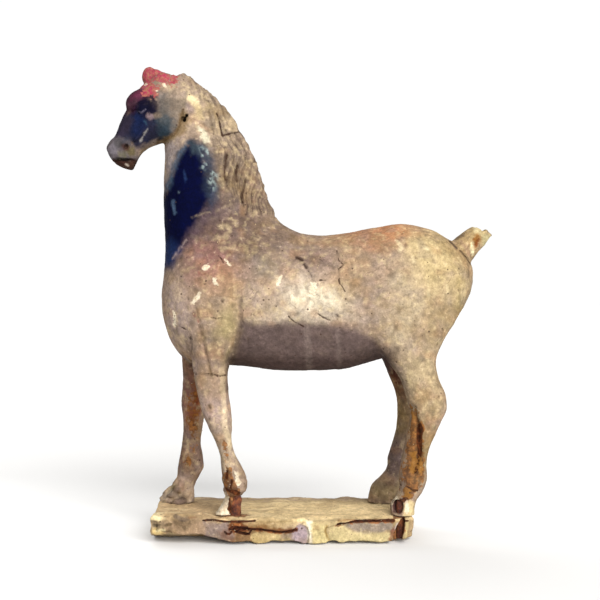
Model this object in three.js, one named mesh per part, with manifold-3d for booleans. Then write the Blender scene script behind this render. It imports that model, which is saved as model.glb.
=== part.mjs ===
// A painted earthenware tomb horse standing on a low slab plinth.
// Millimetres, +Z up. The origin is the centre of the plinth's underside, the horse faces -X,
// and its left side, the one with the stepped-back foreleg, is towards -Y.
// The horse is one modelled piece. The plinth is a slab of its own, and two corroded iron pins,
// bared where clay has broken away, run from the left legs down into it.
import * as THREE from "three";
import { mergeVertices } from "three/addons/utils/BufferGeometryUtils.js";
import Module from "manifold-3d";

// ---------------------------------------------------------------- driving dimensions
const PLINTH_TOP = 23; // thickness of the slab
const HOOF_BASE = PLINTH_TOP + 0.3; // hooves stand on the slab with a hair of clearance
const PIN_CLEARANCE = 0.3; // gap all round each iron pin
const LEFT_LEG_Y = -33; // legs stand this far off the middle plane
const RIGHT_LEG_Y = 31;

// Each limb is a row of stations along its length: [station, low, high, middle in Y, half width].
// The low and high edges are the outline as it is seen from the side.
const TRUNK = [
  // x, belly, back, y, half width
  [-109, 154, 262, 0, 37],
  [-80, 151, 268, 0, 42],
  [-48, 151, 272, 0, 45],
  [-8, 147, 273, 0, 47],
  [28, 146.6, 267.6, 0, 47],
  [58, 148.6, 269.8, 0, 46.5],
  [84, 155.6, 275, 0, 46.5],
  [106, 162, 277.8, 0, 46.5],
  [128, 168, 274, 0, 45],
  [148, 179, 268.4, 0, 43],
  [170, 187, 270, 0, 41],
];
const NECK = [
  // z, throat, crest, y, half width
  [222, -100, 34, 0, 34],
  [246, -105.4, 26, 0, 33.5],
  [262, -106.6, 17.4, 0, 32],
  [276, -107.2, 0.2, 0, 29.5],
  [294, -107.4, -11.2, 0, 26.5],
  [318, -107.2, -19, 0, 23.5],
  [338, -107, -27.6, 0, 21.5],
  [356, -106.5, -35.2, 0, 19.5],
  [374, -105, -46.8, 0, 18],
  [390, -103, -60, 0, 16],
  [402, -100, -74.5, 0, 13],
  [412, -95, -87, 0, 8],
];
const HEAD = [
  // distance along the head from the cheek, jaw, forehead, y, half width
  [-40, 4, 27, 0, 12],
  [-30, -5, 36, 0, 15.5],
  [-16, -13, 39.4, 0, 19],
  [-3, -14.5, 39.6, 0, 21],
  [7, -12, 38, 0, 20.5],
  [16, -6, 34.8, 0, 18.5],
  [27, -0.2, 32, 0, 15],
  [38, 0, 30, 0, 13],
  [46, -1.4, 28.6, 0, 14],
  [52, -1, 26, 0, 13.5],
  [56.5, 2, 21.6, 0, 12],
];
const LEFT_FORELEG = [
  // z, shin side, tendon side, y, half width
  [40, -50.8, -36, LEFT_LEG_Y, 8],
  [44.5, -51.6, -32.8, LEFT_LEG_Y, 9.5],
  [51, -53, -31.4, LEFT_LEG_Y, 10.4],
  [64, -54, -35.4, LEFT_LEG_Y, 9.6],
  [76, -55, -41.8, LEFT_LEG_Y, 8.4],
  [87, -59.4, -44.4, LEFT_LEG_Y, 8.6],
  [99, -65.2, -44.2, LEFT_LEG_Y, 9.8],
  [110, -69.8, -44.4, LEFT_LEG_Y, 10.6],
  [127, -74, -46.6, LEFT_LEG_Y, 11.2],
  [145, -77.8, -47.4, LEFT_LEG_Y + 1, 12.6],
  [163, -80.5, -43, LEFT_LEG_Y + 2, 14.4],
  [184, -84, -38, LEFT_LEG_Y + 4, 15.6],
  [212, -90, -38, LEFT_LEG_Y + 8, 15],
];
const RIGHT_FORELEG = [
  [HOOF_BASE, -114.5, -83.2, RIGHT_LEG_Y, 13.5],
  [33, -110, -83.6, RIGHT_LEG_Y, 12.2],
  [39.5, -104, -83, RIGHT_LEG_Y, 10.8],
  [46, -99.4, -79, RIGHT_LEG_Y, 9.8],
  [54, -98.2, -75, RIGHT_LEG_Y, 10.6],
  [65, -96.2, -75.6, RIGHT_LEG_Y, 9.8],
  [76, -94, -77.4, RIGHT_LEG_Y, 8.8],
  [88, -92.8, -76.4, RIGHT_LEG_Y, 8.8],
  [100, -93.4, -74.4, RIGHT_LEG_Y, 9.8],
  [114, -94.8, -73.2, RIGHT_LEG_Y, 10.8],
  [131, -93.6, -72.6, RIGHT_LEG_Y, 11.2],
  [146, -93.8, -69.8, RIGHT_LEG_Y - 0.5, 12.2],
  [163, -95.4, -64, RIGHT_LEG_Y - 1, 14],
  [186, -98, -56, RIGHT_LEG_Y - 3, 15.4],
  [212, -100, -52, RIGHT_LEG_Y - 7, 15],
];
const LEFT_HINDLEG = [
  [HOOF_BASE, 94, 114.6, LEFT_LEG_Y, 12.6],
  [33.5, 94.4, 115.6, LEFT_LEG_Y, 12],
  [39, 98.6, 118.4, LEFT_LEG_Y, 10.8],
  [44.5, 101.4, 122, LEFT_LEG_Y, 10.4],
  [51, 101.4, 124.8, LEFT_LEG_Y, 11],
  [66, 102.4, 125.4, LEFT_LEG_Y, 10.2],
  [80, 105.2, 127.8, LEFT_LEG_Y, 10],
  [92, 107.8, 132.8, LEFT_LEG_Y, 10.6],
  [104, 110.6, 138, LEFT_LEG_Y, 11.2],
  [115, 110.6, 142.6, LEFT_LEG_Y, 11.8],
  [126, 107.2, 142, LEFT_LEG_Y, 12.6],
  [142, 100.6, 136, LEFT_LEG_Y + 1.5, 14.4],
  [156, 90, 134.6, LEFT_LEG_Y + 3, 16.4],
  [174, 78, 139.8, LEFT_LEG_Y + 5, 18.6],
  [192, 69, 150, LEFT_LEG_Y + 7, 20],
  [212, 68, 158.8, LEFT_LEG_Y + 9, 19.6],
  [236, 78, 160, LEFT_LEG_Y + 11, 16],
];
const RIGHT_HINDLEG = [
  [HOOF_BASE, 77, 115.6, RIGHT_LEG_Y, 14],
  [33.5, 79.8, 116.6, RIGHT_LEG_Y, 13.6],
  [39.5, 81.8, 117.4, RIGHT_LEG_Y, 12.8],
  [46, 88.6, 118.6, RIGHT_LEG_Y, 11.4],
  [53, 94.8, 120.2, RIGHT_LEG_Y, 10.8],
  [65, 96.6, 121.4, RIGHT_LEG_Y, 10],
  [78, 100.2, 124.4, RIGHT_LEG_Y, 10],
  [92, 103.6, 130.4, RIGHT_LEG_Y, 10.6],
  [105, 104.8, 136.4, RIGHT_LEG_Y, 11.4],
  [117, 104, 138.8, RIGHT_LEG_Y, 12],
  [129, 100.8, 135.2, RIGHT_LEG_Y, 13],
  [142, 95.4, 131.2, RIGHT_LEG_Y - 1, 14.4],
  [156, 89, 131.6, RIGHT_LEG_Y - 3, 16.4],
  [174, 79.6, 137.6, RIGHT_LEG_Y - 5, 18.6],
  [192, 70, 149, RIGHT_LEG_Y - 7, 20],
  [212, 68, 158, RIGHT_LEG_Y - 9, 19.6],
  [236, 78, 160, RIGHT_LEG_Y - 11, 16],
];
const TAIL = [
  // distance along the dock, underside, top, y, half width
  [-14, -15, 9, 0, 8],
  [-4, -14, 13, 0, 8.4],
  [8, -11.6, 13.4, 0, 8.4],
  [20, -9, 12.8, 0, 8.8],
  [33, -8, 9.4, 0, 7.6],
];

// ---------------------------------------------------------------- solids from stations
const wasm = await Module();
wasm.setup();

/** A closed three.js geometry as a manifold-3d solid, with its faces outwards. */
function solid(geometry) {
  const bare = geometry.index ? geometry.toNonIndexed() : geometry.clone();
  bare.deleteAttribute("normal");
  bare.deleteAttribute("uv");
  const merged = mergeVertices(bare, 1e-4);
  const points = merged.attributes.position.array;
  const triVerts = new Uint32Array(merged.index.array);
  const make = () =>
    new wasm.Manifold(new wasm.Mesh({ numProp: 3, vertProperties: points, triVerts }));
  const made = make();
  if (made.volume() > 0) return made;
  for (let i = 0; i < triVerts.length; i += 3) {
    [triVerts[i + 1], triVerts[i + 2]] = [triVerts[i + 2], triVerts[i + 1]];
  }
  return make();
}

/** A manifold-3d solid as a flat-shaded three.js geometry. */
function geometryOf(made) {
  const mesh = made.getMesh();
  const points = new Float32Array(mesh.numVert * 3);
  for (let i = 0; i < mesh.numVert; i++) {
    points.set(mesh.vertProperties.subarray(i * mesh.numProp, i * mesh.numProp + 3), i * 3);
  }
  const geometry = new THREE.BufferGeometry();
  geometry.setAttribute("position", new THREE.BufferAttribute(points, 3));
  geometry.setIndex(new THREE.BufferAttribute(new Uint32Array(mesh.triVerts), 1));
  geometry.computeVertexNormals();
  return geometry;
}

// Where a limb's own axes point: its length, its outline direction, and always Y across.
const ALONG_X = new THREE.Matrix4().makeBasis(
  new THREE.Vector3(1, 0, 0),
  new THREE.Vector3(0, 0, 1),
  new THREE.Vector3(0, 1, 0),
);
const ALONG_Z = new THREE.Matrix4().makeBasis(
  new THREE.Vector3(0, 0, 1),
  new THREE.Vector3(1, 0, 0),
  new THREE.Vector3(0, 1, 0),
);

/** Axes for a limb that leaves origin at an angle in the middle plane, measured from +X towards +Z. */
function slanted(origin, degrees, flip = 1) {
  const a = THREE.MathUtils.degToRad(degrees);
  return new THREE.Matrix4()
    .makeBasis(
      new THREE.Vector3(Math.cos(a), 0, Math.sin(a)),
      new THREE.Vector3(-Math.sin(a), 0, Math.cos(a)).multiplyScalar(flip),
      new THREE.Vector3(0, 1, 0),
    )
    .setPosition(origin);
}

/**
 * A limb: smooth sections through its stations. roundStart and roundEnd dome the ends over that length,
 * squareness above 2 fills the section's corners, and taper thins it towards the high edge.
 */
function limb(stations, axes, { rings, sides, roundStart = 0, roundEnd = 0, squareness = 2, taper = 0 }) {
  const at = new THREE.CubicInterpolant(
    stations.map((row) => row[0]),
    stations.flatMap((row) => row.slice(1)),
    4,
  );
  const [start, end] = [stations[0][0], stations[stations.length - 1][0]];
  const dome = (inside, length) => (inside < length ? Math.sqrt(1 - (1 - inside / length) ** 2) : 1);
  const power = (value) => Math.sign(value) * Math.abs(value) ** (2 / squareness);
  const points = [];
  const faces = [];
  const section = (station) => {
    const [low, high, middle, half] = at.evaluate(station);
    return { station, mid: (low + high) / 2, reach: (high - low) / 2, middle, half };
  };
  const tip = 0.005 * (end - start); // a domed end closes this far inside its tip
  const first = start + (roundStart ? tip : 0);
  const final = end - (roundEnd ? tip : 0);
  for (let i = 0; i <= rings; i++) {
    const even = i / rings;
    const eased = (1 - Math.cos(Math.PI * even)) / 2; // rings crowd together towards domed ends
    const share = roundStart || roundEnd ? (even + 2 * eased) / 3 : even;
    const station = THREE.MathUtils.lerp(first, final, share);
    const { mid, reach, middle, half } = section(station);
    const size = dome(station - start, roundStart) * dome(end - station, roundEnd);
    for (let j = 0; j < sides; j++) {
      const turn = (2 * Math.PI * (j + 0.5)) / sides;
      const u = power(Math.cos(turn));
      const v = power(Math.sin(turn)) * (1 - taper * u);
      points.push(station, mid + size * reach * u, middle + size * half * v);
    }
  }
  const ends = [section(start), section(end)];
  ends.forEach(({ station, mid, middle }) => points.push(station, mid, middle));
  const last = rings * sides;
  const [startTip, endTip] = [last + sides, last + sides + 1];
  for (let j = 0; j < sides; j++) {
    const k = (j + 1) % sides;
    faces.push(startTip, k, j, endTip, last + j, last + k);
    for (let i = 0; i < last; i += sides) {
      faces.push(i + j, i + k, i + sides + k, i + j, i + sides + k, i + sides + j);
    }
  }
  const geometry = new THREE.BufferGeometry();
  geometry.setAttribute("position", new THREE.Float32BufferAttribute(points, 3));
  geometry.setIndex(faces);
  return solid(geometry.applyMatrix4(axes));
}

/** A ball of clay with its own three radii, or the hollow that one leaves. */
function lump([x, y, z], [rx, ry, rz], turn = 0, detail = 10) {
  const ball = new THREE.SphereGeometry(1, detail, Math.round(detail * 0.7)).scale(rx, ry, rz);
  return solid(ball.rotateY(turn).translate(x, y, z));
}

/** An upright round bar, or the bore for one. */
function bar([x, y], low, high, radius, sides = 14) {
  const post = new THREE.CylinderGeometry(radius, radius, high - low, sides).rotateX(Math.PI / 2);
  return solid(post.translate(x, y, (low + high) / 2));
}

/** A groove's tool: a thin six-sided cord along a smooth curve. */
function cord(points, radius, steps) {
  const ring = new THREE.Shape();
  for (let i = 0; i < 6; i++) {
    const a = (Math.PI * i) / 3;
    ring[i ? "lineTo" : "moveTo"](radius * Math.cos(a), radius * Math.sin(a));
  }
  const extrudePath = new THREE.CatmullRomCurve3(points.map((p) => new THREE.Vector3(...p)));
  return solid(new THREE.ExtrudeGeometry(ring, { extrudePath, steps, bevelEnabled: false }));
}

/** The same tool or lump on both sides of the middle plane. */
const bothSides = (make) => [make(-1), make(1)];
const joined = (pieces) => pieces.reduce((sum, piece) => sum.add(piece));
const cutBy = (body, tools) => tools.reduce((left, tool) => left.subtract(tool), body);

// ---------------------------------------------------------------- head
const CHEEK = new THREE.Vector3(-104.7, 0, 367);
const HEAD_SLOPE = 230; // the face points forwards and down
const headAxes = slanted(CHEEK, HEAD_SLOPE, -1);
/** A point of the head given along it, up from the jaw line and across. */
const onHead = (along, up, y) => new THREE.Vector3(along, up, y).applyMatrix4(headAxes).toArray();
const HEAD_TURN = THREE.MathUtils.degToRad(-HEAD_SLOPE);

function head() {
  const skull = limb(HEAD, headAxes, { rings: 20, sides: 20, roundStart: 9, roundEnd: 7, squareness: 2.3 });
  const brows = bothSides((s) => lump(onHead(3, 32.6, s * 13), [9.5, 6, 8.5], HEAD_TURN));
  const cheeks = bothSides((s) => lump([CHEEK.x, s * 11.5, CHEEK.z], [14, 13, 14], 0, 14));
  const eyes = bothSides((s) => lump(onHead(4, 22.7, s * 18), [6, 4.4, 4], HEAD_TURN));
  const sockets = bothSides((s) => lump(onHead(4.5, 22.7, s * 23.4), [8.5, 3.6, 6], HEAD_TURN));
  const nostrils = bothSides((s) => lump(onHead(40.5, 16.5, s * 14.5), [3.6, 4, 3], HEAD_TURN, 8));
  const forelock = lump([-118.8, 0, 411], [9.5, 9, 8.4], 0, 12);
  const mouth = lump(onHead(52.5, 9.8, 0), [12, 20, 1.9], THREE.MathUtils.degToRad(-HEAD_SLOPE - 42), 14);
  return cutBy(joined([cutBy(joined([skull, ...brows]), sockets), ...cheeks, ...eyes, forelock]), [
    ...nostrils,
    mouth,
  ]);
}

// ---------------------------------------------------------------- mane
const LOCKS = 6; // carved grooves on each side of the neck
const MANE_WIDTH = 30; // how far the mane falls forward of the crest
const neckAt = new THREE.CubicInterpolant(
  NECK.map((row) => row[0]),
  NECK.flatMap((row) => row.slice(1)),
  4,
);

const NECK_TAPER = 0.42;

/** A point on the neck's skin, at a height and a distance forward of the crest. */
function onNeck(z, forward, side, lift = 0) {
  const [throat, crest, , half] = neckAt.evaluate(z);
  const u = 1 - (2 * forward) / (crest - throat);
  const v = Math.sqrt(Math.max(0, 1 - u * u)) * (1 - NECK_TAPER * u);
  return [crest - forward, side * (half * v + lift), z];
}

/** Wavy grooves that hang straight down from the crest, one behind the other. */
function maneGrooves(side) {
  return Array.from({ length: LOCKS }, (_, i) => {
    const top = THREE.MathUtils.lerp(398, 318, i / (LOCKS - 1));
    const fall = 26 + 6 * Math.sin(i * 2.1);
    const startX = onNeck(top, 5, side)[0];
    const path = Array.from({ length: 5 }, (_unused, k) => {
      const z = top - (fall * k) / 4;
      const [, crest] = neckAt.evaluate(z);
      const forward = Math.min(crest - startX + 1.4 * Math.sin(k * 1.7 + i), MANE_WIDTH);
      return onNeck(z, Math.max(forward, 4), side, 0.4);
    });
    return cord(path, 1.6, 5);
  });
}

// ---------------------------------------------------------------- tail
const TAIL_ROOT = new THREE.Vector3(157, 0, 250);
const TAIL_SLOPE = 39;

function tail() {
  const axes = slanted(TAIL_ROOT, TAIL_SLOPE);
  const stub = limb(TAIL, axes, { rings: 9, sides: 12, squareness: 2.6 });
  const snapped = lump([178, 0, 278], [3.4, 12, 4.6], 0.5, 8);
  const hollow = lump([186.5, 0, 266], [4.4, 3.6, 4], 0.6, 8);
  return cutBy(stub, [snapped, hollow]);
}

// ---------------------------------------------------------------- legs
const FORE_PIN = { at: [-42, LEFT_LEG_Y], radius: 5, low: 6, high: 49 };
const HIND_PIN = { at: [102.5, LEFT_LEG_Y - 4], radius: 4, low: 3, high: 36 };

/** The clay wedge left in front of the bare pin, all that remains of the left fore hoof. */
function foreHoofStump() {
  const wedge = [
    [HOOF_BASE, -60, -43, LEFT_LEG_Y + 1, 9],
    [29, -54.6, -43, LEFT_LEG_Y + 1, 7],
    [36, -50.5, -40, LEFT_LEG_Y, 6.6],
    [44, -50, -38, LEFT_LEG_Y, 6],
  ];
  return limb(wedge, ALONG_Z, { rings: 5, sides: 10 });
}

function legs() {
  const shape = { rings: 20, sides: 14, squareness: 2.2 };
  return joined([
    limb(LEFT_FORELEG, ALONG_Z, shape),
    foreHoofStump(),
    limb(RIGHT_FORELEG, ALONG_Z, shape),
    limb(LEFT_HINDLEG, ALONG_Z, shape),
    limb(RIGHT_HINDLEG, ALONG_Z, shape),
  ]);
}

const pinBore = ({ at, radius, low, high }) => bar(at, low - 0.6, high + 0.6, radius + PIN_CLEARANCE);
const pinBar = ({ at, radius, low, high }) => bar(at, low, high, radius);

// ---------------------------------------------------------------- the horse in one piece
function horse() {
  const trunk = limb(TRUNK, ALONG_X, {
    rings: 24,
    sides: 28,
    roundStart: 36,
    roundEnd: 40,
    squareness: 2.15,
  });
  const neck = limb(NECK, ALONG_Z, { rings: 18, sides: 24, roundEnd: 5, taper: NECK_TAPER });
  const throatHoles = bothSides((s) => lump([-88, s * 19.5, 374], [2.2, 5, 3.4], 0, 8));
  const brokenHoof = lump([95, LEFT_LEG_Y - 11, 30], [6.5, 8, 6.5]);
  return cutBy(joined([trunk, neck, head(), tail(), legs()]), [
    ...bothSides(maneGrooves).flat(),
    ...throatHoles,
    brokenHoof,
    pinBore(FORE_PIN),
    pinBore(HIND_PIN),
  ]);
}

// ---------------------------------------------------------------- the plinth
const PLINTH_OUTLINE = [
  // plan of the hand-cut slab, which was never quite square
  [-113.4, -48.6],
  [-108, -51.6],
  [-84, -52],
  [-30, -52.6],
  [40, -52.8],
  [92, -51.6],
  [107, -49],
  [113, -41],
  [113.5, 0],
  [114, 44],
  [108, 51],
  [40, 52.4],
  [-40, 53],
  [-110, 51],
  [-116, 44],
  [-115, 8],
  [-113, -34],
];
const CHIP_DEPTH = 52; // how far the broken underside runs in from the left face
const CHIP = [
  // x and height of the break along the left face
  [-130, -2],
  [-130, 12.6],
  [-68, 12],
  [-40, 4.4],
  [-18, 2],
  [60, 1.6],
  [96, 4],
  [124, 13],
  [124, -2],
];

const polygon = (points) => new THREE.Shape(points.map(([x, y]) => new THREE.Vector2(x, y)));

function slab() {
  const bevel = 1.6;
  const body = new THREE.ExtrudeGeometry(polygon(PLINTH_OUTLINE), {
    depth: PLINTH_TOP - 2 * bevel,
    bevelThickness: bevel,
    bevelSize: bevel,
    bevelOffset: -bevel,
    bevelSegments: 1,
  });
  return solid(body.translate(0, 0, bevel));
}

/** The wedge of clay lost from the underside: full height at the left, nothing CHIP_DEPTH further in. */
function undersideChip() {
  const left = -62;
  const wedge = new THREE.ExtrudeGeometry(polygon(CHIP), { depth: CHIP_DEPTH, bevelEnabled: false });
  wedge.rotateX(Math.PI / 2).translate(0, left + CHIP_DEPTH, 0);
  const position = wedge.attributes.position;
  for (let i = 0; i < position.count; i++) {
    const isInner = position.getY(i) > left + CHIP_DEPTH / 2;
    if (isInner && position.getZ(i) > 0) position.setZ(i, -1);
  }
  return solid(wedge);
}

function plinth() {
  const slot = new THREE.BoxGeometry(9.4, 30, 30).rotateY(0.16).translate(100.6, -62 + 9, 11);
  const bruises = [
    lump([-112, -54, 17], [8, 6, 4.6]),
    lump([-96, -54, 12], [5, 4, 4]),
    lump([115, -43, 4], [8.4, 9, 9]),
    lump([-24, -56, 9], [22, 6, 4.5]),
    lump([66, -55, 17], [34, 4.6, 2.2], 0, 12),
  ];
  return cutBy(slab(), [undersideChip(), solid(slot), ...bruises, pinBore(FORE_PIN), pinBore(HIND_PIN)]);
}

// ---------------------------------------------------------------- the object
const clay = new THREE.MeshStandardMaterial({ color: 0xb9a582, roughness: 0.95, metalness: 0 });
const bareClay = new THREE.MeshStandardMaterial({ color: 0xbba070, roughness: 0.97, metalness: 0 });
const rust = new THREE.MeshStandardMaterial({ color: 0x5a2c12, roughness: 0.8, metalness: 0.1 });

const tombHorse = new THREE.Group();
const pieces = [
  ["horse", horse(), clay],
  ["plinth", plinth(), bareClay],
  ["fore_pin", pinBar(FORE_PIN), rust],
  ["hind_pin", pinBar(HIND_PIN), rust],
];
for (const [name, made, material] of pieces) {
  const mesh = new THREE.Mesh(geometryOf(made), material);
  mesh.name = name;
  tombHorse.add(mesh);
}

export default tombHorse;
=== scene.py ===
import math

import bpy
import numpy as np
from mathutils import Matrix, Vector


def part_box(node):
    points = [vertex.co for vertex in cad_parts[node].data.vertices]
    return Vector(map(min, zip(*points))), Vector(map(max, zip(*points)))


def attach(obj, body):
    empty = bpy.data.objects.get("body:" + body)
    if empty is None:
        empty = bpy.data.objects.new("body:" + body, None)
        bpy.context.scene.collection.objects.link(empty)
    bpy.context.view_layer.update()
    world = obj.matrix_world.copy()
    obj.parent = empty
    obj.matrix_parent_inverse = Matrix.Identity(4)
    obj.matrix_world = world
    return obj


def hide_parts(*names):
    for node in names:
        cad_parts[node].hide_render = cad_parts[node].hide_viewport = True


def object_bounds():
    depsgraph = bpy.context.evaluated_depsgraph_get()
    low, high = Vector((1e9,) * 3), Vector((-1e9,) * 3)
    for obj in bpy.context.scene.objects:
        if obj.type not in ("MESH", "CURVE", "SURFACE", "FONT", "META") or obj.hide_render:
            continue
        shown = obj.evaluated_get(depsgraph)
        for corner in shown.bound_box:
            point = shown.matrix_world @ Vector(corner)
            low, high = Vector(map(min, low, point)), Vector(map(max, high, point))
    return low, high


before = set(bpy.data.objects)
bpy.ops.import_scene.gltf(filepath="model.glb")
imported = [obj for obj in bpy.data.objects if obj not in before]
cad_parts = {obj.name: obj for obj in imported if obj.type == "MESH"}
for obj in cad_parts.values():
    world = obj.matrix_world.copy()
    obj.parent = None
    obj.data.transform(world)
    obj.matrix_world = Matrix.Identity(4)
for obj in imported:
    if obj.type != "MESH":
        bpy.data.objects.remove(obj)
cad_low, cad_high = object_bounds()

# ---------------------------------------------------------------- camera, floor and light
# A copy stand set-up: the camera stands about a metre off the horse's left side, level with its middle,
# on a plain pale floor. A low broad light comes past the camera's right shoulder, a weaker one lights the
# back, and a white room fills the shadows.
CAMERA_DISTANCE = 1.05
LENS = 70
FLOOR_REACH = 30.0
PAPER = "ebeae8"
ROOM_LIGHT, ROOM_SEEN = 0.34, 1.02  # the white room as it lights things, and as it is seen
LIGHTS = {  # strength, spread in degrees, and where each comes from
    "key": (5.6, 45, (0.42, -1.0, 0.46)),
    "fill": (1.5, 60, (-0.5, 1.0, 0.9)),
}


def colour(code):
    """An sRGB hex value as the linear colour that shaders and lights take."""
    shares = [int(code[i : i + 2], 16) / 255 for i in (0, 2, 4)]
    return (*(c / 12.92 if c <= 0.04045 else ((c + 0.055) / 1.055) ** 2.4 for c in shares), 1.0)


def add(tree, kind, inputs=None, take=None, **settings):
    """Adds a node with its settings and its inputs, as values or links, and gives the output to take."""
    node = tree.nodes.new(kind)
    for name, value in settings.items():
        setattr(node, name, value)
    for key, value in (inputs or {}).items():
        if isinstance(value, bpy.types.NodeSocket):
            tree.links.new(value, node.inputs[key])
        else:
            node.inputs[key].default_value = value
    if take is not None:
        return node.outputs[take]
    return next((output for output in node.outputs if output.enabled), None)


def new_material(name):
    """An empty node material and its tree."""
    made = bpy.data.materials.new(name)
    made.use_nodes = True
    made.node_tree.nodes.clear()
    return made, made.node_tree


def new_object(name, vertices, faces, material):
    """A smooth mesh object whose vertices are in metres."""
    mesh = bpy.data.meshes.new(name)
    mesh.from_pydata(vertices, [], faces)
    mesh.shade_smooth()
    mesh.materials.append(material)
    made = bpy.data.objects.new(name, mesh)
    bpy.context.scene.collection.objects.link(made)
    return made


middle = (cad_low + cad_high) / 2
camera = bpy.data.objects.new("camera", bpy.data.cameras.new("camera"))
camera.data.lens = LENS
camera.location = (middle.x, -CAMERA_DISTANCE, middle.z)
camera.rotation_euler = (math.radians(90), 0, 0)
bpy.context.scene.collection.objects.link(camera)
bpy.context.scene.camera = camera
bpy.context.scene.view_settings.view_transform = "Standard"

paper, tree = new_material("white_paper")
surface = add(tree, "ShaderNodeBsdfPrincipled", {"Base Color": colour(PAPER), "Roughness": 0.9})
add(tree, "ShaderNodeOutputMaterial", {"Surface": surface})
reach = FLOOR_REACH
corners = [(-reach, -reach, 0), (reach, -reach, 0), (reach, reach, 0), (-reach, reach, 0)]
floor = new_object("floor", corners, [(0, 1, 2, 3)], paper)

for name, (strength, spread, source) in LIGHTS.items():
    lamp = bpy.data.objects.new(name, bpy.data.lights.new(name, "SUN"))
    lamp.data.energy, lamp.data.angle = strength, math.radians(spread)
    lamp.rotation_euler = (-Vector(source)).to_track_quat("-Z", "Y").to_euler()
    bpy.context.scene.collection.objects.link(lamp)

room = bpy.data.worlds.new("white_room")
room.use_nodes = True
bpy.context.scene.world = room
tree = room.node_tree
tree.nodes.clear()
seen = add(tree, "ShaderNodeLightPath", take="Is Camera Ray")
glow = add(tree, "ShaderNodeMapRange", {"Value": seen, "To Min": ROOM_LIGHT, "To Max": ROOM_SEEN})
glow = add(tree, "ShaderNodeBackground", {"Strength": glow, "Color": colour("ffffff")})
add(tree, "ShaderNodeOutputWorld", {"Surface": glow})

# ---------------------------------------------------------------- the horse: its clay
# The horse is one piece of low-fired earthenware, modelled by hand: a barrel, neck, head, four legs and a
# tail stub pressed together and smoothed, with brows, cheeks, eyes and hooves worked up from added clay.
# Each limb is a row of stations in mm: place along it, low edge, high edge, middle in Y, half width.


def box_in_mm(node):
    """The lowest and highest corners of a node of the frame."""
    return [np.array(corner) * 1000 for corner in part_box(node)]


GROUND = box_in_mm("plinth")[1][2]
LEFT, RIGHT = -33, 31  # the legs stand this far off the middle plane

TRUNK = [
    (-109, 154, 262, 0, 37), (-80, 151, 268, 0, 42), (-48, 151, 272, 0, 45), (-8, 147, 273, 0, 47),
    (28, 146.6, 267.6, 0, 47), (58, 148.6, 269.8, 0, 46.5), (84, 155.6, 275, 0, 46.5),
    (106, 162, 277.8, 0, 46.5), (128, 168, 274, 0, 45), (148, 181.4, 268.4, 0, 43),
    (170, 192, 270, 0, 41),
]
NECK = [
    (222, -100, 34, 0, 34), (246, -105.4, 24, 0, 33.5), (262, -106.6, 14, 0, 32),
    (276, -107.2, -1.5, 0, 29.5), (294, -107.4, -12.4, 0, 26.5), (318, -107.2, -20, 0, 23.5),
    (338, -107, -28.4, 0, 21.5), (356, -106.5, -36, 0, 19.5), (374, -105, -47.4, 0, 18),
    (390, -103, -60.6, 0, 16), (402, -100, -74.5, 0, 13), (412, -95, -87, 0, 8),
]
HEAD = [
    (-40, 4, 27, 0, 12), (-30, -5, 36, 0, 15.5), (-16, -13, 39, 0, 19), (-3, -14.5, 39.2, 0, 21),
    (7, -12, 37.4, 0, 20.5), (16, -6, 35.4, 0, 18.2), (27, -0.2, 32.6, 0, 14.6),
    (38, 0.4, 29.4, 0, 12.6), (45, -1.4, 29.7, 0, 13.6), (52, -2, 27.4, 0, 13.2), (56.5, 3, 21.6, 0, 12),
]
LEFT_FORELEG = [
    (40, -50.8, -36, LEFT, 8), (44.5, -51.4, -33, LEFT, 9.5), (51, -52.8, -31.8, LEFT, 10.4),
    (64, -53.8, -35.8, LEFT, 9.6), (76, -54.8, -42.2, LEFT, 8.4), (87, -59, -44.8, LEFT, 8.6),
    (99, -64.8, -44.7, LEFT, 9.8), (110, -69.6, -44.9, LEFT, 10.6), (127, -73.8, -47.2, LEFT, 11.2),
    (145, -77.6, -48, LEFT + 1, 12.6), (163, -80.3, -44, LEFT + 2, 14.4),
    (184, -84, -39, LEFT + 4, 15.6), (212, -90, -38, LEFT + 8, 15),
]
RIGHT_FORELEG = [
    (GROUND, -114.5, -83.2, RIGHT, 13.5), (33, -110, -83.6, RIGHT, 12.2), (39.5, -104, -83, RIGHT, 10.8),
    (46, -99.4, -79, RIGHT, 9.8), (54, -98.2, -75, RIGHT, 10.6), (65, -96.2, -75.6, RIGHT, 9.8),
    (76, -94, -77.4, RIGHT, 8.8), (88, -92.8, -76.4, RIGHT, 8.8), (100, -93.4, -74.4, RIGHT, 9.8),
    (114, -94.8, -73.2, RIGHT, 10.8), (131, -93.6, -72.6, RIGHT, 11.2),
    (146, -93.8, -69.8, RIGHT - 0.5, 12.2), (163, -95.4, -64, RIGHT - 1, 14),
    (186, -98, -56, RIGHT - 3, 15.4), (212, -100, -52, RIGHT - 7, 15),
]
LEFT_HINDLEG = [
    (GROUND, 94, 114.6, LEFT, 12.6), (33.5, 94.4, 115.6, LEFT, 12), (39, 98.6, 118.4, LEFT, 10.8),
    (44.5, 101.4, 122, LEFT, 10.4), (51, 101.4, 124.8, LEFT, 11), (66, 102.4, 125.4, LEFT, 10.2),
    (80, 105.2, 127.8, LEFT, 10), (92, 107.8, 132.8, LEFT, 10.6), (104, 110.6, 138, LEFT, 11.2),
    (115, 110.6, 142.6, LEFT, 11.8), (126, 107.2, 142, LEFT, 12.6),
    (142, 101.4, 135.4, LEFT + 1.5, 14.4), (156, 91.6, 134, LEFT + 3, 16.4),
    (174, 79.6, 140.6, LEFT + 5, 18.6), (192, 71, 151.5, LEFT + 7, 20), (212, 70, 158.5, LEFT + 9, 19.6),
    (236, 78, 160, LEFT + 11, 16),
]
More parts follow.
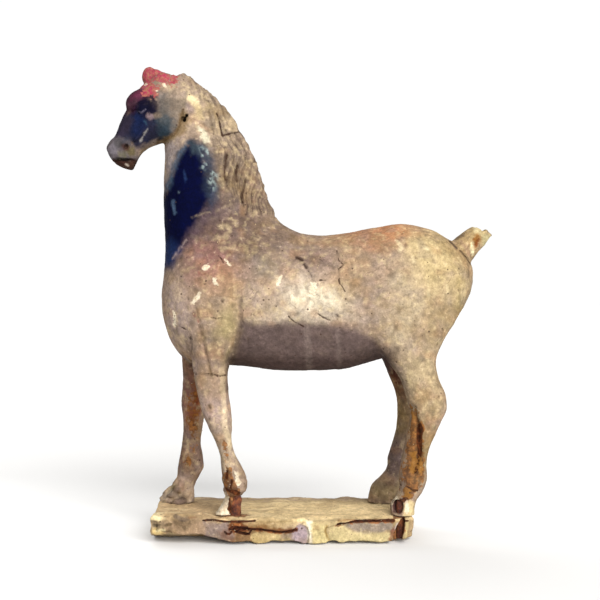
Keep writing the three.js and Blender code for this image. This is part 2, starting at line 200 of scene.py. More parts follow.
RIGHT_HINDLEG = [
    (GROUND, 77, 115.6, RIGHT, 14), (33.5, 79.8, 116.6, RIGHT, 13.6), (39.5, 82.4, 117.4, RIGHT, 12.8),
    (46, 89, 118.6, RIGHT, 11.4), (53, 94.8, 120.2, RIGHT, 10.8), (65, 96.6, 121.4, RIGHT, 10),
    (78, 100.2, 124.4, RIGHT, 10), (92, 103.8, 130.4, RIGHT, 10.6), (105, 105.2, 136.4, RIGHT, 11.4),
    (117, 104.6, 138.8, RIGHT, 12), (129, 101.6, 135.2, RIGHT, 13), (142, 96.6, 131.2, RIGHT - 1, 14.4),
    (156, 90.4, 131.6, RIGHT - 3, 16.4), (174, 81, 139.6, RIGHT - 5, 18.6),
    (192, 72, 151, RIGHT - 7, 20), (212, 70, 158.5, RIGHT - 9, 19.6), (236, 78, 160, RIGHT - 11, 16),
]
TAIL = [
    (-14, -15, 9, 0, 8), (-4, -13.4, 12.2, 0, 8.4), (8, -11.2, 12.8, 0, 8.4), (20, -9, 12.8, 0, 8.8),
    (33, -8.4, 10.4, 0, 7.8), (37, -7.8, 9.6, 0, 7.4),
]
TAIL_BREAK = (  # places up across the tail, and how far along it each is broken off
    [-10, -7, -5, 1.5, 3, 6, 9.5, 12],
    [21, 27, 33.5, 34.5, 30, 29, 28, 26],
)
STUMP = [
    (GROUND, -60, -43, LEFT + 1, 9), (29, -54.6, -43, LEFT + 1, 7), (36, -50.5, -40, LEFT, 6.6),
    (44, -50, -38, LEFT, 6),
]
CLODS = [  # centre and spread of the loose clay pressed round the right fore hoof
    (-107, 23, 26, 6), (-102, 18, 31, 5), (-96, 17, 25, 6.4), (-109, 34, 25, 5), (-98, 20, 37, 4),
]
CHEEK, HEAD_SLOPE = (-104.7, 367), 230  # the head's own origin in X and Z, and its direction in degrees
DOCK, TAIL_SLOPE = (157, 250), 39
LATTICE = 64  # noise repeats after this many cells


def through(stations, along):
    """The stations' values on a smooth curve through them, at each place along."""
    rows = np.array(stations, float)
    place, values = rows[:, 0], rows[:, 1:]
    slope = np.gradient(values, place, axis=0)
    fine = np.linspace(place[0], place[-1], 240)
    i = np.clip(np.searchsorted(place, fine) - 1, 0, len(place) - 2)
    step = (place[i + 1] - place[i])[:, None]
    t = ((fine - place[i]) / step[:, 0])[:, None]
    curve = (
        (1 + 2 * t) * (1 - t) ** 2 * values[i]
        + t * (1 - t) ** 2 * step * slope[i]
        + t * t * (3 - 2 * t) * values[i + 1]
        - t * t * (1 - t) * step * slope[i + 1]
    )
    return [np.interp(along, fine, column).astype(np.float32) for column in curve.T]


def limb(stations, along, out, y, squareness=2.0, taper=0.0, domes=(0, 0)):
    """Distance in mm from a limb's skin, negative inside. domes round its two ends off over that length."""
    low, high, centre, half = through(stations, along)
    reach = (high - low) / 2
    u = (out - (high + low) / 2) / reach
    half = half * (1 - taper * np.clip(u, -1, 1))
    v = (y - centre) / half
    ring = (np.abs(u) ** squareness + np.abs(v) ** squareness) ** (1 / squareness)
    start, end = stations[0][0], stations[-1][0]
    w = np.zeros_like(ring)
    cap = np.full_like(ring, -99.0)
    rise = 1.0
    for length, inside in zip(domes, (along - start, end - along)):
        if length:
            w = np.maximum(w, 1 - inside / length)
            rise = length
        else:
            cap = np.maximum(cap, -inside)
    size = np.sqrt(ring**2 + w**2) + 1e-6
    steep = np.sqrt((u / reach) ** 2 + (v / half) ** 2 + (w / rise) ** 2) + 1e-6
    return np.maximum((size - 1) * size / steep, cap)


def lump(x, y, z, centre, radii, turn=0.0):
    """Distance in mm from a ball of clay with its own three radii, turned in the middle plane."""
    dx, dz = x - centre[0], z - centre[2]
    c, s = math.cos(math.radians(turn)), math.sin(math.radians(turn))
    p = [(dx * c + dz * s) / radii[0], (y - centre[1]) / radii[1], (dz * c - dx * s) / radii[2]]
    size = np.sqrt(p[0] ** 2 + p[1] ** 2 + p[2] ** 2) + 1e-6
    steep = np.sqrt(sum((q / r) ** 2 for q, r in zip(p, radii))) + 1e-6
    return (size - 1) * size / steep


def melt(a, b, softness):
    """Two pieces of clay pressed together, with a fillet of about this many mm."""
    close = np.clip(1 - np.abs(a - b) / softness, 0, 1)
    return np.minimum(a, b) - close * close * softness / 4


def carve(a, tool, softness=1.0):
    """The clay left after a tool has gone through it."""
    return -melt(-a, tool, softness)


def slanted(x, z, origin, degrees, flip=1):
    """Places in a limb's own directions: along it, and up across it, in the middle plane."""
    c, s = math.cos(math.radians(degrees)), math.sin(math.radians(degrees))
    dx, dz = x - origin[0], z - origin[1]
    return dx * c + dz * s, (dz * c - dx * s) * flip


def from_path(x, z, path):
    """Distance in mm from a line through the path's points, seen square on."""
    nearest = np.full(np.shape(x), 1e3, np.float32)
    for (ax, az), (bx, bz) in zip(path, path[1:]):
        dx, dz = bx - ax, bz - az
        t = np.clip(((x - ax) * dx + (z - az) * dz) / (dx * dx + dz * dz), 0, 1)
        nearest = np.minimum(nearest, np.hypot(x - ax - t * dx, z - az - t * dz))
    return nearest


def depth_in(x, z, outline):
    """How many mm inside a closed outline a place is, or minus how far outside."""
    inside = np.zeros(np.shape(x), bool)
    ring = [*outline, outline[0]]
    for (ax, az), (bx, bz) in zip(ring, ring[1:]):
        crosses = (az > z) != (bz > z)
        inside ^= crosses & (x < ax + (z - az) * (bx - ax) / ((bz - az) or 1e-9))
    return np.where(inside, 1, -1) * from_path(x, z, ring)


def grain(x, y, z, size, seed):
    """Smooth noise from -1 to 1 whose swells are about size mm across."""
    table = np.random.default_rng(seed).uniform(-1, 1, (LATTICE,) * 3).astype(np.float32)
    cells, eased = [], []
    for value in (x, y, z):
        cell = np.floor(value / size)
        part = value / size - cell
        cells.append(cell.astype(np.int32))
        eased.append(part * part * (3 - 2 * part))
    total = 0
    for corner in np.ndindex(2, 2, 2):
        weight = 1
        for part, side in zip(eased, corner):
            weight = weight * (part if side else 1 - part)
        index = tuple((cell + side) % LATTICE for cell, side in zip(cells, corner))
        total = total + weight * table[index]
    return total


def swells(x, y, z, *rows):
    """A sum of smooth noises, each with its strength, its size in mm and its seed."""
    return sum(strength * grain(x, y, z, size, seed) for strength, size, seed in rows)


def pitting(x, y, z, size, share, seed):
    """Depth, 0 to 1, of round pits, with one in a share of the cells of a lattice size mm apart."""
    rng = np.random.default_rng(seed)
    centres = rng.uniform(0.3, 0.7, (LATTICE, LATTICE, LATTICE, 3)).astype(np.float32)
    radius = rng.uniform(0.12, 0.3, (LATTICE,) * 3).astype(np.float32)
    radius *= rng.uniform(0, 1, radius.shape) < share
    cells = [np.floor(value / size).astype(np.int32) for value in (x, y, z)]
    index = tuple(cell % LATTICE for cell in cells)
    offset = 0
    for i, (value, cell) in enumerate(zip((x, y, z), cells)):
        offset = offset + (value / size - cell - centres[index][..., i]) ** 2
    return np.clip(1.2 * (1 - np.sqrt(offset) / (radius[index] + 1e-6)), 0, 1)


def ease(value, low, high):
    """0 below low, 1 above high, and smooth between."""
    t = np.clip((value - low) / (high - low), 0, 1)
    return t * t * (3 - 2 * t)


# Clay pressed on or cut away in turn. The centre of each lump is along, aside and up in the head's own
# directions, or X, Y and Z in the horse's. Then come its radii, its turn in degrees and its fillet.
HEAD_WORK = [
    ("press", "head", (1.6, 11.5, 34), (10, 7, 6.4), 0, 4),  # brows
    ("press", "horse", (-104.2, 11, 368), (14.5, 12.5, 14), 0, 3),  # cheeks
    ("press", "head", (46, 7.5, 15), (9, 6.5, 9.5), 0, 4),  # muzzle
    ("cut", "head", (4.2, 24.5, 22.6), (8.4, 6.2, 5.4), 0, 2.5),  # eye sockets
    ("press", "head", (4.4, 17.2, 22.4), (5, 4.6, 3.8), 0, 0.8),  # eyes
    ("press", "head", (3.4, 18.6, 27.2), (7.4, 2.6, 1.7), 12, 1.2),  # upper lids
    ("press", "head", (5.6, 18.2, 18.2), (6.4, 2.2, 1.3), -8, 1.2),  # lower lids
    ("press", "head", (20, 15.4, 10.2), (10, 3.2, 1.8), 2, 3),  # cheek bones
    ("press", "head", (38.8, 11.6, 14), (5.8, 3.6, 4.8), 0, 2),  # rims of the nostrils
    ("cut", "head", (38.4, 14.8, 13.3), (2.6, 4.2, 2), 0, 0.8),  # nostrils
    ("press", "horse", (-118.2, 0, 409.6), (9, 8, 8), 0, 3),  # the forelock's tuft
    ("press", "horse", (-120.8, 0, 412.6), (5.8, 6.5, 6.4), 0, 1.5),
    ("press", "horse", (-106.5, 9.5, 408), (6.5, 4.4, 5), 20, 2.5),  # broken stubs beside it
    ("press", "horse", (-91.6, 0, 408.2), (2.4, 6, 3), 0, 1.5),  # start of the mane
    ("cut", "horse", (-101, 12, 414.5), (9, 6, 3.4), -18, 1.5),  # break behind the forelock
]
MOUTH, MOUTH_SLOPE = (-140.5, 334.4), 3
MOUTH_REACH, MOUTH_HALF = 10, 1.4
MOUTH_DEPTH = 8.5  # mm from the middle plane to the bottom of the cut
EAR_HOLLOWS = [  # the lost ear's socket: centre, radii and turn
    ((-87.6, 19.5, 369.6), (1.8, 6.5, 2.5), 12),
    ((-85.4, 19.5, 372.8), (1.5, 5.5, 1.6), 30),
]
TAIL_HOLE = ((30, 0, 6), (5, 4, 3.5))  # in the broken end, in the tail's own directions
HOOF_HOLLOW = ((98.8, LEFT - 10, 31), (5.4, 8, 5.8))


def horse_head(x, y, z):
    """The head's clay: skull, brows, cheeks, lids, nostrils, lips and the red forelock."""
    along, up = slanted(x, z, CHEEK, HEAD_SLOPE, -1)
    side = np.abs(y)
    clay = limb(HEAD, along, up, y, squareness=2.4, domes=(9, 6))
    for work, frame_of, centre, radii, turn, softness in HEAD_WORK:
        places = (along, side, up) if frame_of == "head" else (x, side, z)
        clay = (melt if work == "press" else carve)(clay, lump(*places, centre, radii, turn), softness)
    along, up = slanted(x, z, MOUTH, MOUTH_SLOPE)
    gap = np.hypot(np.maximum(np.abs(along) - MOUTH_REACH, 0), up + 0.7 * np.sin(along / 4)) - MOUTH_HALF
    return carve(clay, np.maximum(gap, MOUTH_DEPTH - side), 0.8)


def horse_clay(x, y, z):
    """Distance in mm from the skin of the whole horse, before its fine relief."""
    clay = limb(TRUNK, x, z, y, squareness=2.15, domes=(36, 40))

    def press_on(where, piece, softness):
        picked = np.nonzero(where)
        clay[picked] = melt(clay[picked], piece(x[picked], y[picked], z[picked]), softness)

    near = z > 205
    press_on(near & (x < 60), lambda a, b, c: limb(NECK, c, a, b, taper=0.42, domes=(0, 5)), 14)
    for stations, left, front in (
        (LEFT_FORELEG, True, True),
        (RIGHT_FORELEG, False, True),
        (LEFT_HINDLEG, True, False),
        (RIGHT_HINDLEG, False, False),
    ):
        where = (z < 245) & ((y < 8) if left else (y > -8)) & ((x < 0) if front else (x > 40))
        press_on(where, lambda a, b, c, rows=stations: limb(rows, c, a, b, squareness=2.2), 7)
    press_on((z < 60) & (x < -20) & (y < 0), lambda a, b, c: limb(STUMP, c, a, b), 1.5)
    for at_x, at_y, at_z, spread in CLODS:
        near = (z < 60) & (x < -60) & (y > 0)
        press_on(near, lambda a, b, c: lump(a, b, c, (at_x, at_y, at_z), (spread, spread, 0.6 * spread)), 3)
    press_on((z > 315) & (x < -60), horse_head, 5)

    def tail(a, b, c):
        along, up = slanted(a, c, DOCK, TAIL_SLOPE)
        stub = limb(TAIL, along, up, b, squareness=2.5)
        ragged = along - np.interp(up, *TAIL_BREAK).astype(np.float32) + 1.2 * grain(a, b, c, 4, 31)
        stub = np.maximum(stub, ragged)
        return carve(stub, lump(along, b, up, *TAIL_HOLE), 1.5)

    press_on((z > 225) & (x > 125), tail, 2.5)
    for hollow in EAR_HOLLOWS:
        clay = carve(clay, lump(x, np.abs(y), z, *hollow), 0.6)
    return clay


PIN_GAP, GAP_ABOVE, GAP_BELOW = 0.45, 0.8, 0.6  # mm round each iron pin and past its ends


def rod(node):
    """An iron pin's lowest and highest corners and its middle in mm, and its radius."""
    low, high = box_in_mm(node)
    return low, high, (low + high) / 2, (high[1] - low[1]) / 2


def bored(clay, x, y, z):
    """The clay with the bores of both iron pins through it."""
    for node in ("fore_pin", "hind_pin"):
        low, high, centre, radius = rod(node)
        bore = np.hypot(x - centre[0], y - centre[1]) - radius - PIN_GAP
        ends = np.maximum(z - high[2] - GAP_ABOVE, low[2] - GAP_BELOW - z)
        clay = carve(clay, np.maximum(bore, ends), 0.3)
    return clay


def whole_horse(x, y, z):
    """The horse's clay with its pin bores and the hollow in its left hind hoof, standing on the plinth."""
    clay = bored(horse_clay(x, y, z), x, y, z)
    hollow = lump(x, y, z, *HOOF_HOLLOW) + 0.5 * grain(x, y, z, 3, 32)
    return np.maximum(carve(clay, hollow, 1.2), GROUND + 0.3 - z)


# ---------------------------------------------------------------- the horse: its fine relief
# The mane is raised in a thin layer over the back of the neck and combed into wavy upright locks with a
# stick. Age has added hairline cracks, an inset repair at the crest, pits and flaked patches of ground.
# Outlines and lines are X and Z in mm, as they lie on the horse's left side.
MANE = [
    (-94, 415), (-77, 392), (-69, 373), (-61, 353), (-57, 333), (-53, 316), (-43, 300), (-33, 286),
    (-6, 281), (8, 290), (-10, 330), (-30, 380), (-70, 425),
]
LOCK_WIDTH, STRANDS_IN_LOCK = 5.6, 2.6
DEEP_LOCKS = [
    [(-50, 338), (-51, 330), (-52, 321), (-51, 316)],
    [(-41, 329), (-42, 322), (-41, 315)],
    [(-34, 316), (-35, 308), (-37, 300), (-36, 294)],
]
CRACKS = [  # how boldly each is cut, and its path
    (1, [(-59, 375.5), (-56, 364), (-54.2, 355.6), (-47, 358.5), (-38, 361)]),
    (1, [(18.6, 240.5), (21, 236), (24, 231.5), (26.6, 227.4)]),
    (1, [(31.6, 227), (37, 226.8)]),
    (0.98, [(47.5, 252), (48, 244.5), (52.5, 240.8), (47.8, 236.4), (49.2, 225), (53.5, 217.6)]),
    (0.97, [(5, 195.6), (10, 191), (17, 186.8)]),
    (0.97, [(29, 197.8), (35, 195), (41, 192.6)]),
    (0.95, [(-56, 247.5), (-51.5, 242)]),
    (0.9, [(156, 254), (161, 248), (167.5, 241.8)]),
    (0.95, [(-91, 186.5), (-84, 184.5)]),
    (0.95, [(-61, 195), (-56, 193.6), (-50, 194.8)]),
    (1, [(12, 246.4), (16.4, 244.6)]),
    (0.82, [(-33.5, 205.4), (-33.2, 200.6)]),
    (0.85, [(32, 246), (36, 243)]),
    (0.97, [(-76.8, 145.6), (-62, 145.2), (-50, 144.4)]),
    (1, [(100, 50.2), (107, 48.4), (113, 45.2), (116, 45.2)]),
]
GROOVES = [  # paths with their half width and depth
    ([(-76, 204), (-74.7, 200), (-69.2, 178), (-64.9, 160), (-60.8, 138)], 1.5, 1.5),
    ([(-36.6, 210), (-36.2, 190), (-40.6, 170), (-45.8, 156)], 2.6, 1.5),
    ([(-80, 180), (-79, 166), (-76, 150)], 1.6, 0.8),
    ([(-52, 222), (-44, 225.5), (-36, 225), (-26, 217.3), (-19, 207)], 3.0, 0.5),
    ([(125.5, 121), (127.5, 112), (126, 100), (121.5, 86), (118.5, 70)], 2.6, 0.9),
    ([(113, 116), (116, 102), (117.6, 88), (118.6, 78), (114, 61)], 2.2, 2.2),
    ([(-88.5, 380), (-90, 372), (-91.8, 363), (-95.8, 357), (-103.7, 353), (-111, 351.6)], 1.8, 1.4),
    ([(-48.6, 64), (-48, 54), (-50, 47.4), (-41, 44.6), (-37, 41)], 1.3, 0.9),
]
CRACK_HALF, CRACK_DEPTH = 1.1, 0.8
CRACK_REACH = 3.0  # mm from a crack's middle to where its stain ends
REPAIR, REPAIR_DEPTH = [(-59, 376), (-54.2, 355.6), (-36, 361.5), (-48, 378)], 0.6
PIT_DEPTH = 0.65
PITTED = [  # X, Z and reach of each badly pitted spot, and its pits' spacing, share of cells and seed
    (36, 240, 12, 4, 0.85, 14),  # below the back
    (128, 128, 13, 3.6, 0.8, 15),  # on the hock
]


def head_share(x, z):
    """1 on the head, 0 on the neck, and smooth between."""
    return ease(z, 335, 350) * ease(-x, 78, 90)


def mane_locks(x, y, z):
    """How far the mane covers each place, and its combed grooves, its strands and its deepest grooves."""
    head = head_share(x, z)
    warp = swells(x, y, z, (3.4, 13, 6), (1.4, 5.5, 9))
    band = ease(depth_in(x, z, MANE) + warp, -1, 3) * (1 - head * ease(-x, 92, 97))
    lie = x + 0.5 * np.maximum(z - 342, 0) + 1.3 * np.sin(z / 8.5 + x / 11) + warp + 0.03 * z * np.sign(y)
    combed = 0.25 + 0.75 * ease(grain(x, y, z, 10, 8), -0.35, 0.5)
    turn = 2 * np.pi * lie / LOCK_WIDTH
    comb = (0.5 + 0.5 * np.cos(turn)) ** 3 * combed
    strand = 0.5 + 0.5 * np.cos(turn * STRANDS_IN_LOCK + 1.7 * grain(x, y, z, 12, 7))
    deep = sum(np.exp(-((from_path(x, z, lock) / 1.5) ** 2)) for lock in DEEP_LOCKS)
    return band, comb, strand, np.clip(deep, 0, 1)


def horse_relief(x, y, z):
    """Height in mm of the skin over the smooth clay, and how much of it is hollow, 0 to 1."""
    left = ease(-y, 0, 8)
    head = head_share(x, z)
    legs = ease(-z, -158, -140)
    height = swells(x, y, z, (0.65, 26, 1), (0.4, 11, 2)) * (1 - 0.6 * head - 0.3 * legs)
    height += swells(x, y, z, (0.2, 4.6, 3), (0.12, 2.6, 4))
    hollow = 0.35 * ease(-grain(x, y, z, 5, 5), 0.25, 0.8)

    band, comb, strand, deep = mane_locks(x, y, z)
    height += band * (1.5 - 1.6 * comb - 0.35 * strand - 1.9 * deep + 0.8 * grain(x, y, z, 4.4, 10))
    hollow = np.maximum(hollow, band * np.clip(0.4 * comb + 0.8 * deep, 0, 1))

    cut = np.zeros_like(height)
    for bold, crack in CRACKS:
        cut = np.maximum(cut, bold * np.exp(-((from_path(x, z, crack) / CRACK_HALF) ** 2)))
    cut *= left * (0.35 + 0.65 * ease(grain(x, y, z, 3.2, 26), -0.4, 0.3))
    for line, width, depth in GROOVES:
        height -= depth * left * np.exp(-((from_path(x, z, line) / width) ** 2))
    height -= CRACK_DEPTH * cut + REPAIR_DEPTH * ease(depth_in(x, z, REPAIR), 0, 1.2) * left

    rough = ease(grain(x, y, z, 22, 11) + 0.5 * ease(z, 225, 260), 0.0, 0.7) * (1 - head) * (1 - 0.5 * band)
    pits = np.maximum(pitting(x, y, z, 6.5, 0.3, 12), pitting(x, y, z, 3.4, 0.34, 13) * (0.35 + rough))
    for at_x, at_z, reach, *kind in PITTED:
        spot = ease(reach - np.hypot(x - at_x, z - at_z), 0, 6) * left
        pits = np.maximum(pits, spot * pitting(x, y, z, *kind))
    pits = np.clip(pits, 0, 1)
    height -= PIT_DEPTH * pits
    hollow = np.maximum(hollow, 0.85 * pits)

    poll = ease(z + 0.35 * x, 362, 368) * ease(x, -126, -116) * ease(-x, 90, 94)
    tail_end = ease(x + z, 446, 452)
    shin = ease(-z, -60, -34)
    mound = ease(y, 8, 18) * ease(-x, 78, 92) * ease(-z, -48, -40)
    fetlock = ease(17 - np.hypot(x + 44, z - 50), 0, 6)
    fetlock = np.maximum(fetlock, ease(-z, -44, -38) * ease(-x, 40, 50)) * left
    for where, *rows in (
        (poll, (1.1, 4.5, 16), (0.7, 2.4, 17)),
        (tail_end, (0.9, 3.6, 18), (0.4, 2, 19)),
        (shin, (0.5, 6, 20), (0.3, 3, 21)),
        (mound, (1.9, 7, 22), (1.3, 3.4, 23)),
        (fetlock, (0.8, 3.4, 24), (0.4, 2, 25)),
    ):
        height += where * swells(x, y, z, *rows)
    return height, np.clip(hollow, 0, 1)


MARGIN = 6  # mm left free round a piece's box for its relief
NEAR_SKIN = 1.35  # the fine lattice is worked out within this many coarse steps of the skin
STRIDE = 0.6  # mm that a point may be moved at a time to settle on the skin


def surface_net(clay, low, high, spacing, coarse=4):
    """The zero surface of a clay function over a box in mm: its vertices and four-cornered faces."""
    step = spacing * coarse
    count = [int(math.ceil((b - a) / step)) + 1 for a, b in zip(low, high)]
    axes = [(a + step * np.arange(n)).astype(np.float32) for a, n in zip(low, count)]
    rough = clay(*(grid.ravel() for grid in np.meshgrid(*axes, indexing="ij"))).reshape(count)
    value = np.repeat(np.repeat(np.repeat(rough, coarse, 0), coarse, 1), coarse, 2)
    close = np.abs(rough) < NEAR_SKIN * step
    busy = np.zeros_like(close)
    for shift in np.ndindex(2, 2, 2):
        moved = close[tuple(slice(s, None) for s in shift)]
        busy[tuple(slice(0, n) for n in moved.shape)] |= moved
    fine = np.nonzero(np.repeat(np.repeat(np.repeat(busy, coarse, 0), coarse, 1), coarse, 2))
    places = [(a + spacing * index).astype(np.float32) for a, index in zip(low, fine)]
    value[fine] = clay(*places)

    inside = value < 0
    corners = list(np.ndindex(2, 2, 2))
    shape = [n - 1 for n in value.shape]
    part = [inside[tuple(slice(s, s + n) for s, n in zip(corner, shape))] for corner in corners]
    mixed = np.logical_or.reduce(part) & ~np.logical_and.reduce(part)
    cells = np.argwhere(mixed)
    held = np.stack([value[tuple((cells + corner).T)] for corner in corners], 1)
    total, hits = np.zeros((len(cells), 3)), np.zeros(len(cells))
    for i, a in enumerate(corners):
        for axis in range(3):
            if a[axis]:
                continue
            b = tuple(side + (k == axis) for k, side in enumerate(a))
            va, vb = held[:, i], held[:, corners.index(b)]
            cross = (va < 0) != (vb < 0)
            share = np.where(cross, va / np.where(cross, va - vb, 1), 0)
            spot = np.array(a)[None] + share[:, None] * np.eye(3)[axis]
            total += spot * cross[:, None]
            hits += cross
    vertices = np.array(low) + (cells + total / hits[:, None]) * spacing

    number = np.full(shape, -1, np.int32)
    number[tuple(cells.T)] = np.arange(len(cells))
    faces = []
    for axis in range(3):
        one, two = (axis + 1) % 3, (axis + 2) % 3
        ahead = [slice(0, n) for n in value.shape]
        ahead[axis] = slice(1, None)
        behind = [slice(0, n) for n in value.shape]
        behind[axis] = slice(0, -1)
        for flips in (False, True):
            a, b = inside[tuple(behind)], inside[tuple(ahead)]
            edge = np.argwhere((a & ~b) if flips else (~a & b))
            edge = edge[(edge[:, one] > 0) & (edge[:, two] > 0)]
            around = []
            for back_one, back_two in ((0, 0), (1, 0), (1, 1), (0, 1)):
                cell = edge.copy()
                cell[:, one] -= back_one
                cell[:, two] -= back_two
                around.append(number[tuple(cell.T)])
            ring = np.stack(around, 1)
            faces.append(ring if flips else ring[:, ::-1])
    return vertices, np.concatenate(faces)


def slopes(clay, points, reach=0.5):
    """The clay function at each point and its unit direction outwards."""
    x, y, z = points.T.astype(np.float32)
    here = clay(x, y, z)
    lean = np.stack(
        [
            clay(x + reach, y, z) - clay(x - reach, y, z),
            clay(x, y + reach, z) - clay(x, y - reach, z),
            clay(x, y, z + reach) - clay(x, y, z - reach),
        ],
        1,
    ) / (2 * reach)
    steep = np.linalg.norm(lean, axis=1, keepdims=True) + 1e-6
    return here / steep[:, 0], lean / steep


def settle(clay, points):
    """Points drawn onto the clay's skin, and the way out of it at each."""
    for _ in range(2):
        off, out = slopes(clay, points)
        points = points - np.clip(off, -STRIDE, STRIDE)[:, None] * out
    return points, slopes(clay, points, 0.8)[1]


def thinned(piece, triangles):
    """The piece's mesh with its flatter parts in larger triangles, down to about this many in all."""
    piece.data.calc_loop_triangles()
    share = triangles / len(piece.data.loop_triangles)
    if share < 1:
        modifier = piece.modifiers.new("thin", "DECIMATE")
        modifier.ratio = share
        done = bpy.data.meshes.new_from_object(piece.evaluated_get(bpy.context.evaluated_depsgraph_get()))
        piece.modifiers.clear()
        piece.data = done
    piece.data.shade_smooth()


def fired_piece(name, clay, relief, box, spacing, triangles, resting, finish):
    """A closed mesh of the clay with its relief, which fades out over the heights where the piece rests."""
    net, quads = surface_net(clay, box[0] - MARGIN, box[1] + MARGIN, spacing)
    net, out = settle(clay, net)
    raised, _ = relief(*net.T.astype(np.float32))
    net += out * (raised * ease(net[:, 2], *resting))[:, None]
    net[:, 2] = np.maximum(net[:, 2], 0)
    piece = new_object(name, net / 1000, quads.tolist(), finish)
    thinned(piece, triangles)
    return piece


def places_of(piece):
    """A piece's vertices in mm, as three rows of coordinates."""
    flat = np.empty(len(piece.data.vertices) * 3, np.float32)
    piece.data.vertices.foreach_get("co", flat)
    return flat.reshape(-1, 3).T * 1000


def write_layers(piece, layers):
    """Stores each named row of numbers on the piece's vertices, for its material to read."""
    for name, values in layers.items():
        piece.data.attributes.new(name, "FLOAT", "POINT").data.foreach_set(
            "value", np.ascontiguousarray(values, np.float32)
        )


# ---------------------------------------------------------------- the horse: its paint and soil
# Cold pigments laid on a pale clay slip after firing: azurite blue on the cheek and neck, red earth on
# the forelock, and thin washes of pink. Burial has stained it with soil, and iron has bled down the legs.
# Stains and painted light are soft clouds: centre in X and Z, reach in X and Z, colour and strength, on
# both sides alike. Painted shade and highlight also lie under the belly, on the far legs, in grooves and
# holes.
SLIP = "857262"
STAINS_AND_PAINTED_LIGHT = [
    (-38, 290, 38, 44, "5e4d43", 0.95), (-15, 264, 32, 17, "69574b", 0.8),
    (-50, 325, 14, 34, "685a4f", 0.8), (-57, 370, 20, 22, "7d6e5d", 0.85),
    (-82, 384, 16, 14, "8a7a66", 0.8), (-68, 268, 18, 12, "52403f", 0.9),
    (-101, 336, 9, 18, "7d7473", 0.85), (-62, 247, 20, 14, "7d544f", 0.8),
    (-56, 231, 18, 9, "8c6454", 0.65), (-31, 255, 13, 8, "584b42", 0.8),
    (-16, 238, 12, 9, "746a5c", 0.6), (-44, 206, 9, 22, "877256", 0.8),
    (-93, 196, 12, 32, "907e75", 0.85), (-56, 178, 26, 15, "6d5c4d", 0.8),
    (-64, 152, 24, 12, "7c6a60", 0.8), (-60, 118, 22, 22, "88756b", 0.8),
    # the clouds at (26, 211) and (8, 223) are pale patches that paint the barrel's highlight
    (-46, 84, 14, 18, "8b7b69", 0.8), (26, 211, 30, 13, "c0b49c", 0.9), (8, 223, 14, 8, "b0a391", 0.6),
    (-12, 210, 18, 14, "93806e", 0.6), (22, 196, 46, 7, "9b8e7b", 0.7), (62, 234, 16, 24, "8a7358", 0.7),
    (74, 214, 13, 20, "857262", 0.7), (92, 272, 42, 10, "9d6a49", 0.92), (68, 262, 26, 8, "8f694e", 0.7),
    (120, 256, 16, 9, "a8946f", 0.6), (134, 244, 26, 34, "a49169", 0.9),
    (104, 226, 12, 9, "9a8b72", 0.6), (108, 202, 18, 13, "a39377", 0.7),
    (156, 214, 10, 30, "807049", 0.7), (100, 184, 13, 15, "978971", 0.75),
    (138, 186, 12, 24, "7d6d50", 0.7), (118, 150, 20, 22, "8f7f60", 0.75),
    (128, 126, 14, 14, "978566", 0.8), (122, 84, 16, 32, "766344", 0.85),
    (104, 96, 5, 36, "74665e", 0.6), (165, 262, 22, 20, "8a7350", 0.8),
    # painted shade on the neck's base and chest: the clouds at (-50, 296), (-50, 262), (-80, 246), (-52,
    # 168)
    (178, 272, 12, 12, "a08c60", 0.6), (-50, 296, 18, 36, "483b33", 0.6),
    (-50, 262, 28, 26, "5d4940", 0.4), (-80, 246, 16, 18, "6b4c44", 0.4),
    (-52, 168, 18, 16, "57493b", 0.5), (25, 243, 15, 9, "5f4a46", 0.6), (-50, 190, 9, 14, "8d7f56", 0.6),
    (-44, 160, 7, 12, "84754f", 0.5),
]
# painted shade darkens the far legs, deepest at the far hind's top; with rust, soil and the far fore hoof's
# mound
FAR_LEG_STAINS_AND_PAINTED_SHADE = [
    (-98, 122, 12, 44, "7f6a62", 0.9), (-94, 120, 4, 28, "4a2c26", 0.6),
    (-82, 118, 8, 27, "6e3414", 0.95), (-82, 152, 14, 14, "54382f", 0.7), (-88, 61, 5, 7, "7c4520", 0.8),
    (-90, 68, 24, 26, "5d4740", 0.9), (-98, 30, 24, 13, "b09a82", 0.9), (-104, 33, 6, 4, "c4b793", 0.9),
    (98, 140, 24, 30, "45180c", 0.95), (98, 98, 24, 24, "75613f", 0.9), (100, 66, 24, 20, "584a48", 0.9),
    (92, 34, 24, 10, "756545", 0.85), (98, 36, 10, 5, "9a8762", 0.7), (-104, 31, 7, 5, "a8957c", 0.85),
    (-106, 40, 6, 3.4, "3a2a30", 0.9), (-100, 35, 3.4, 3, "46360f", 0.9), (-93, 38, 5, 5, "8f7462", 0.8),
    (-94, 29, 5, 3, "6b5a46", 0.8),
]
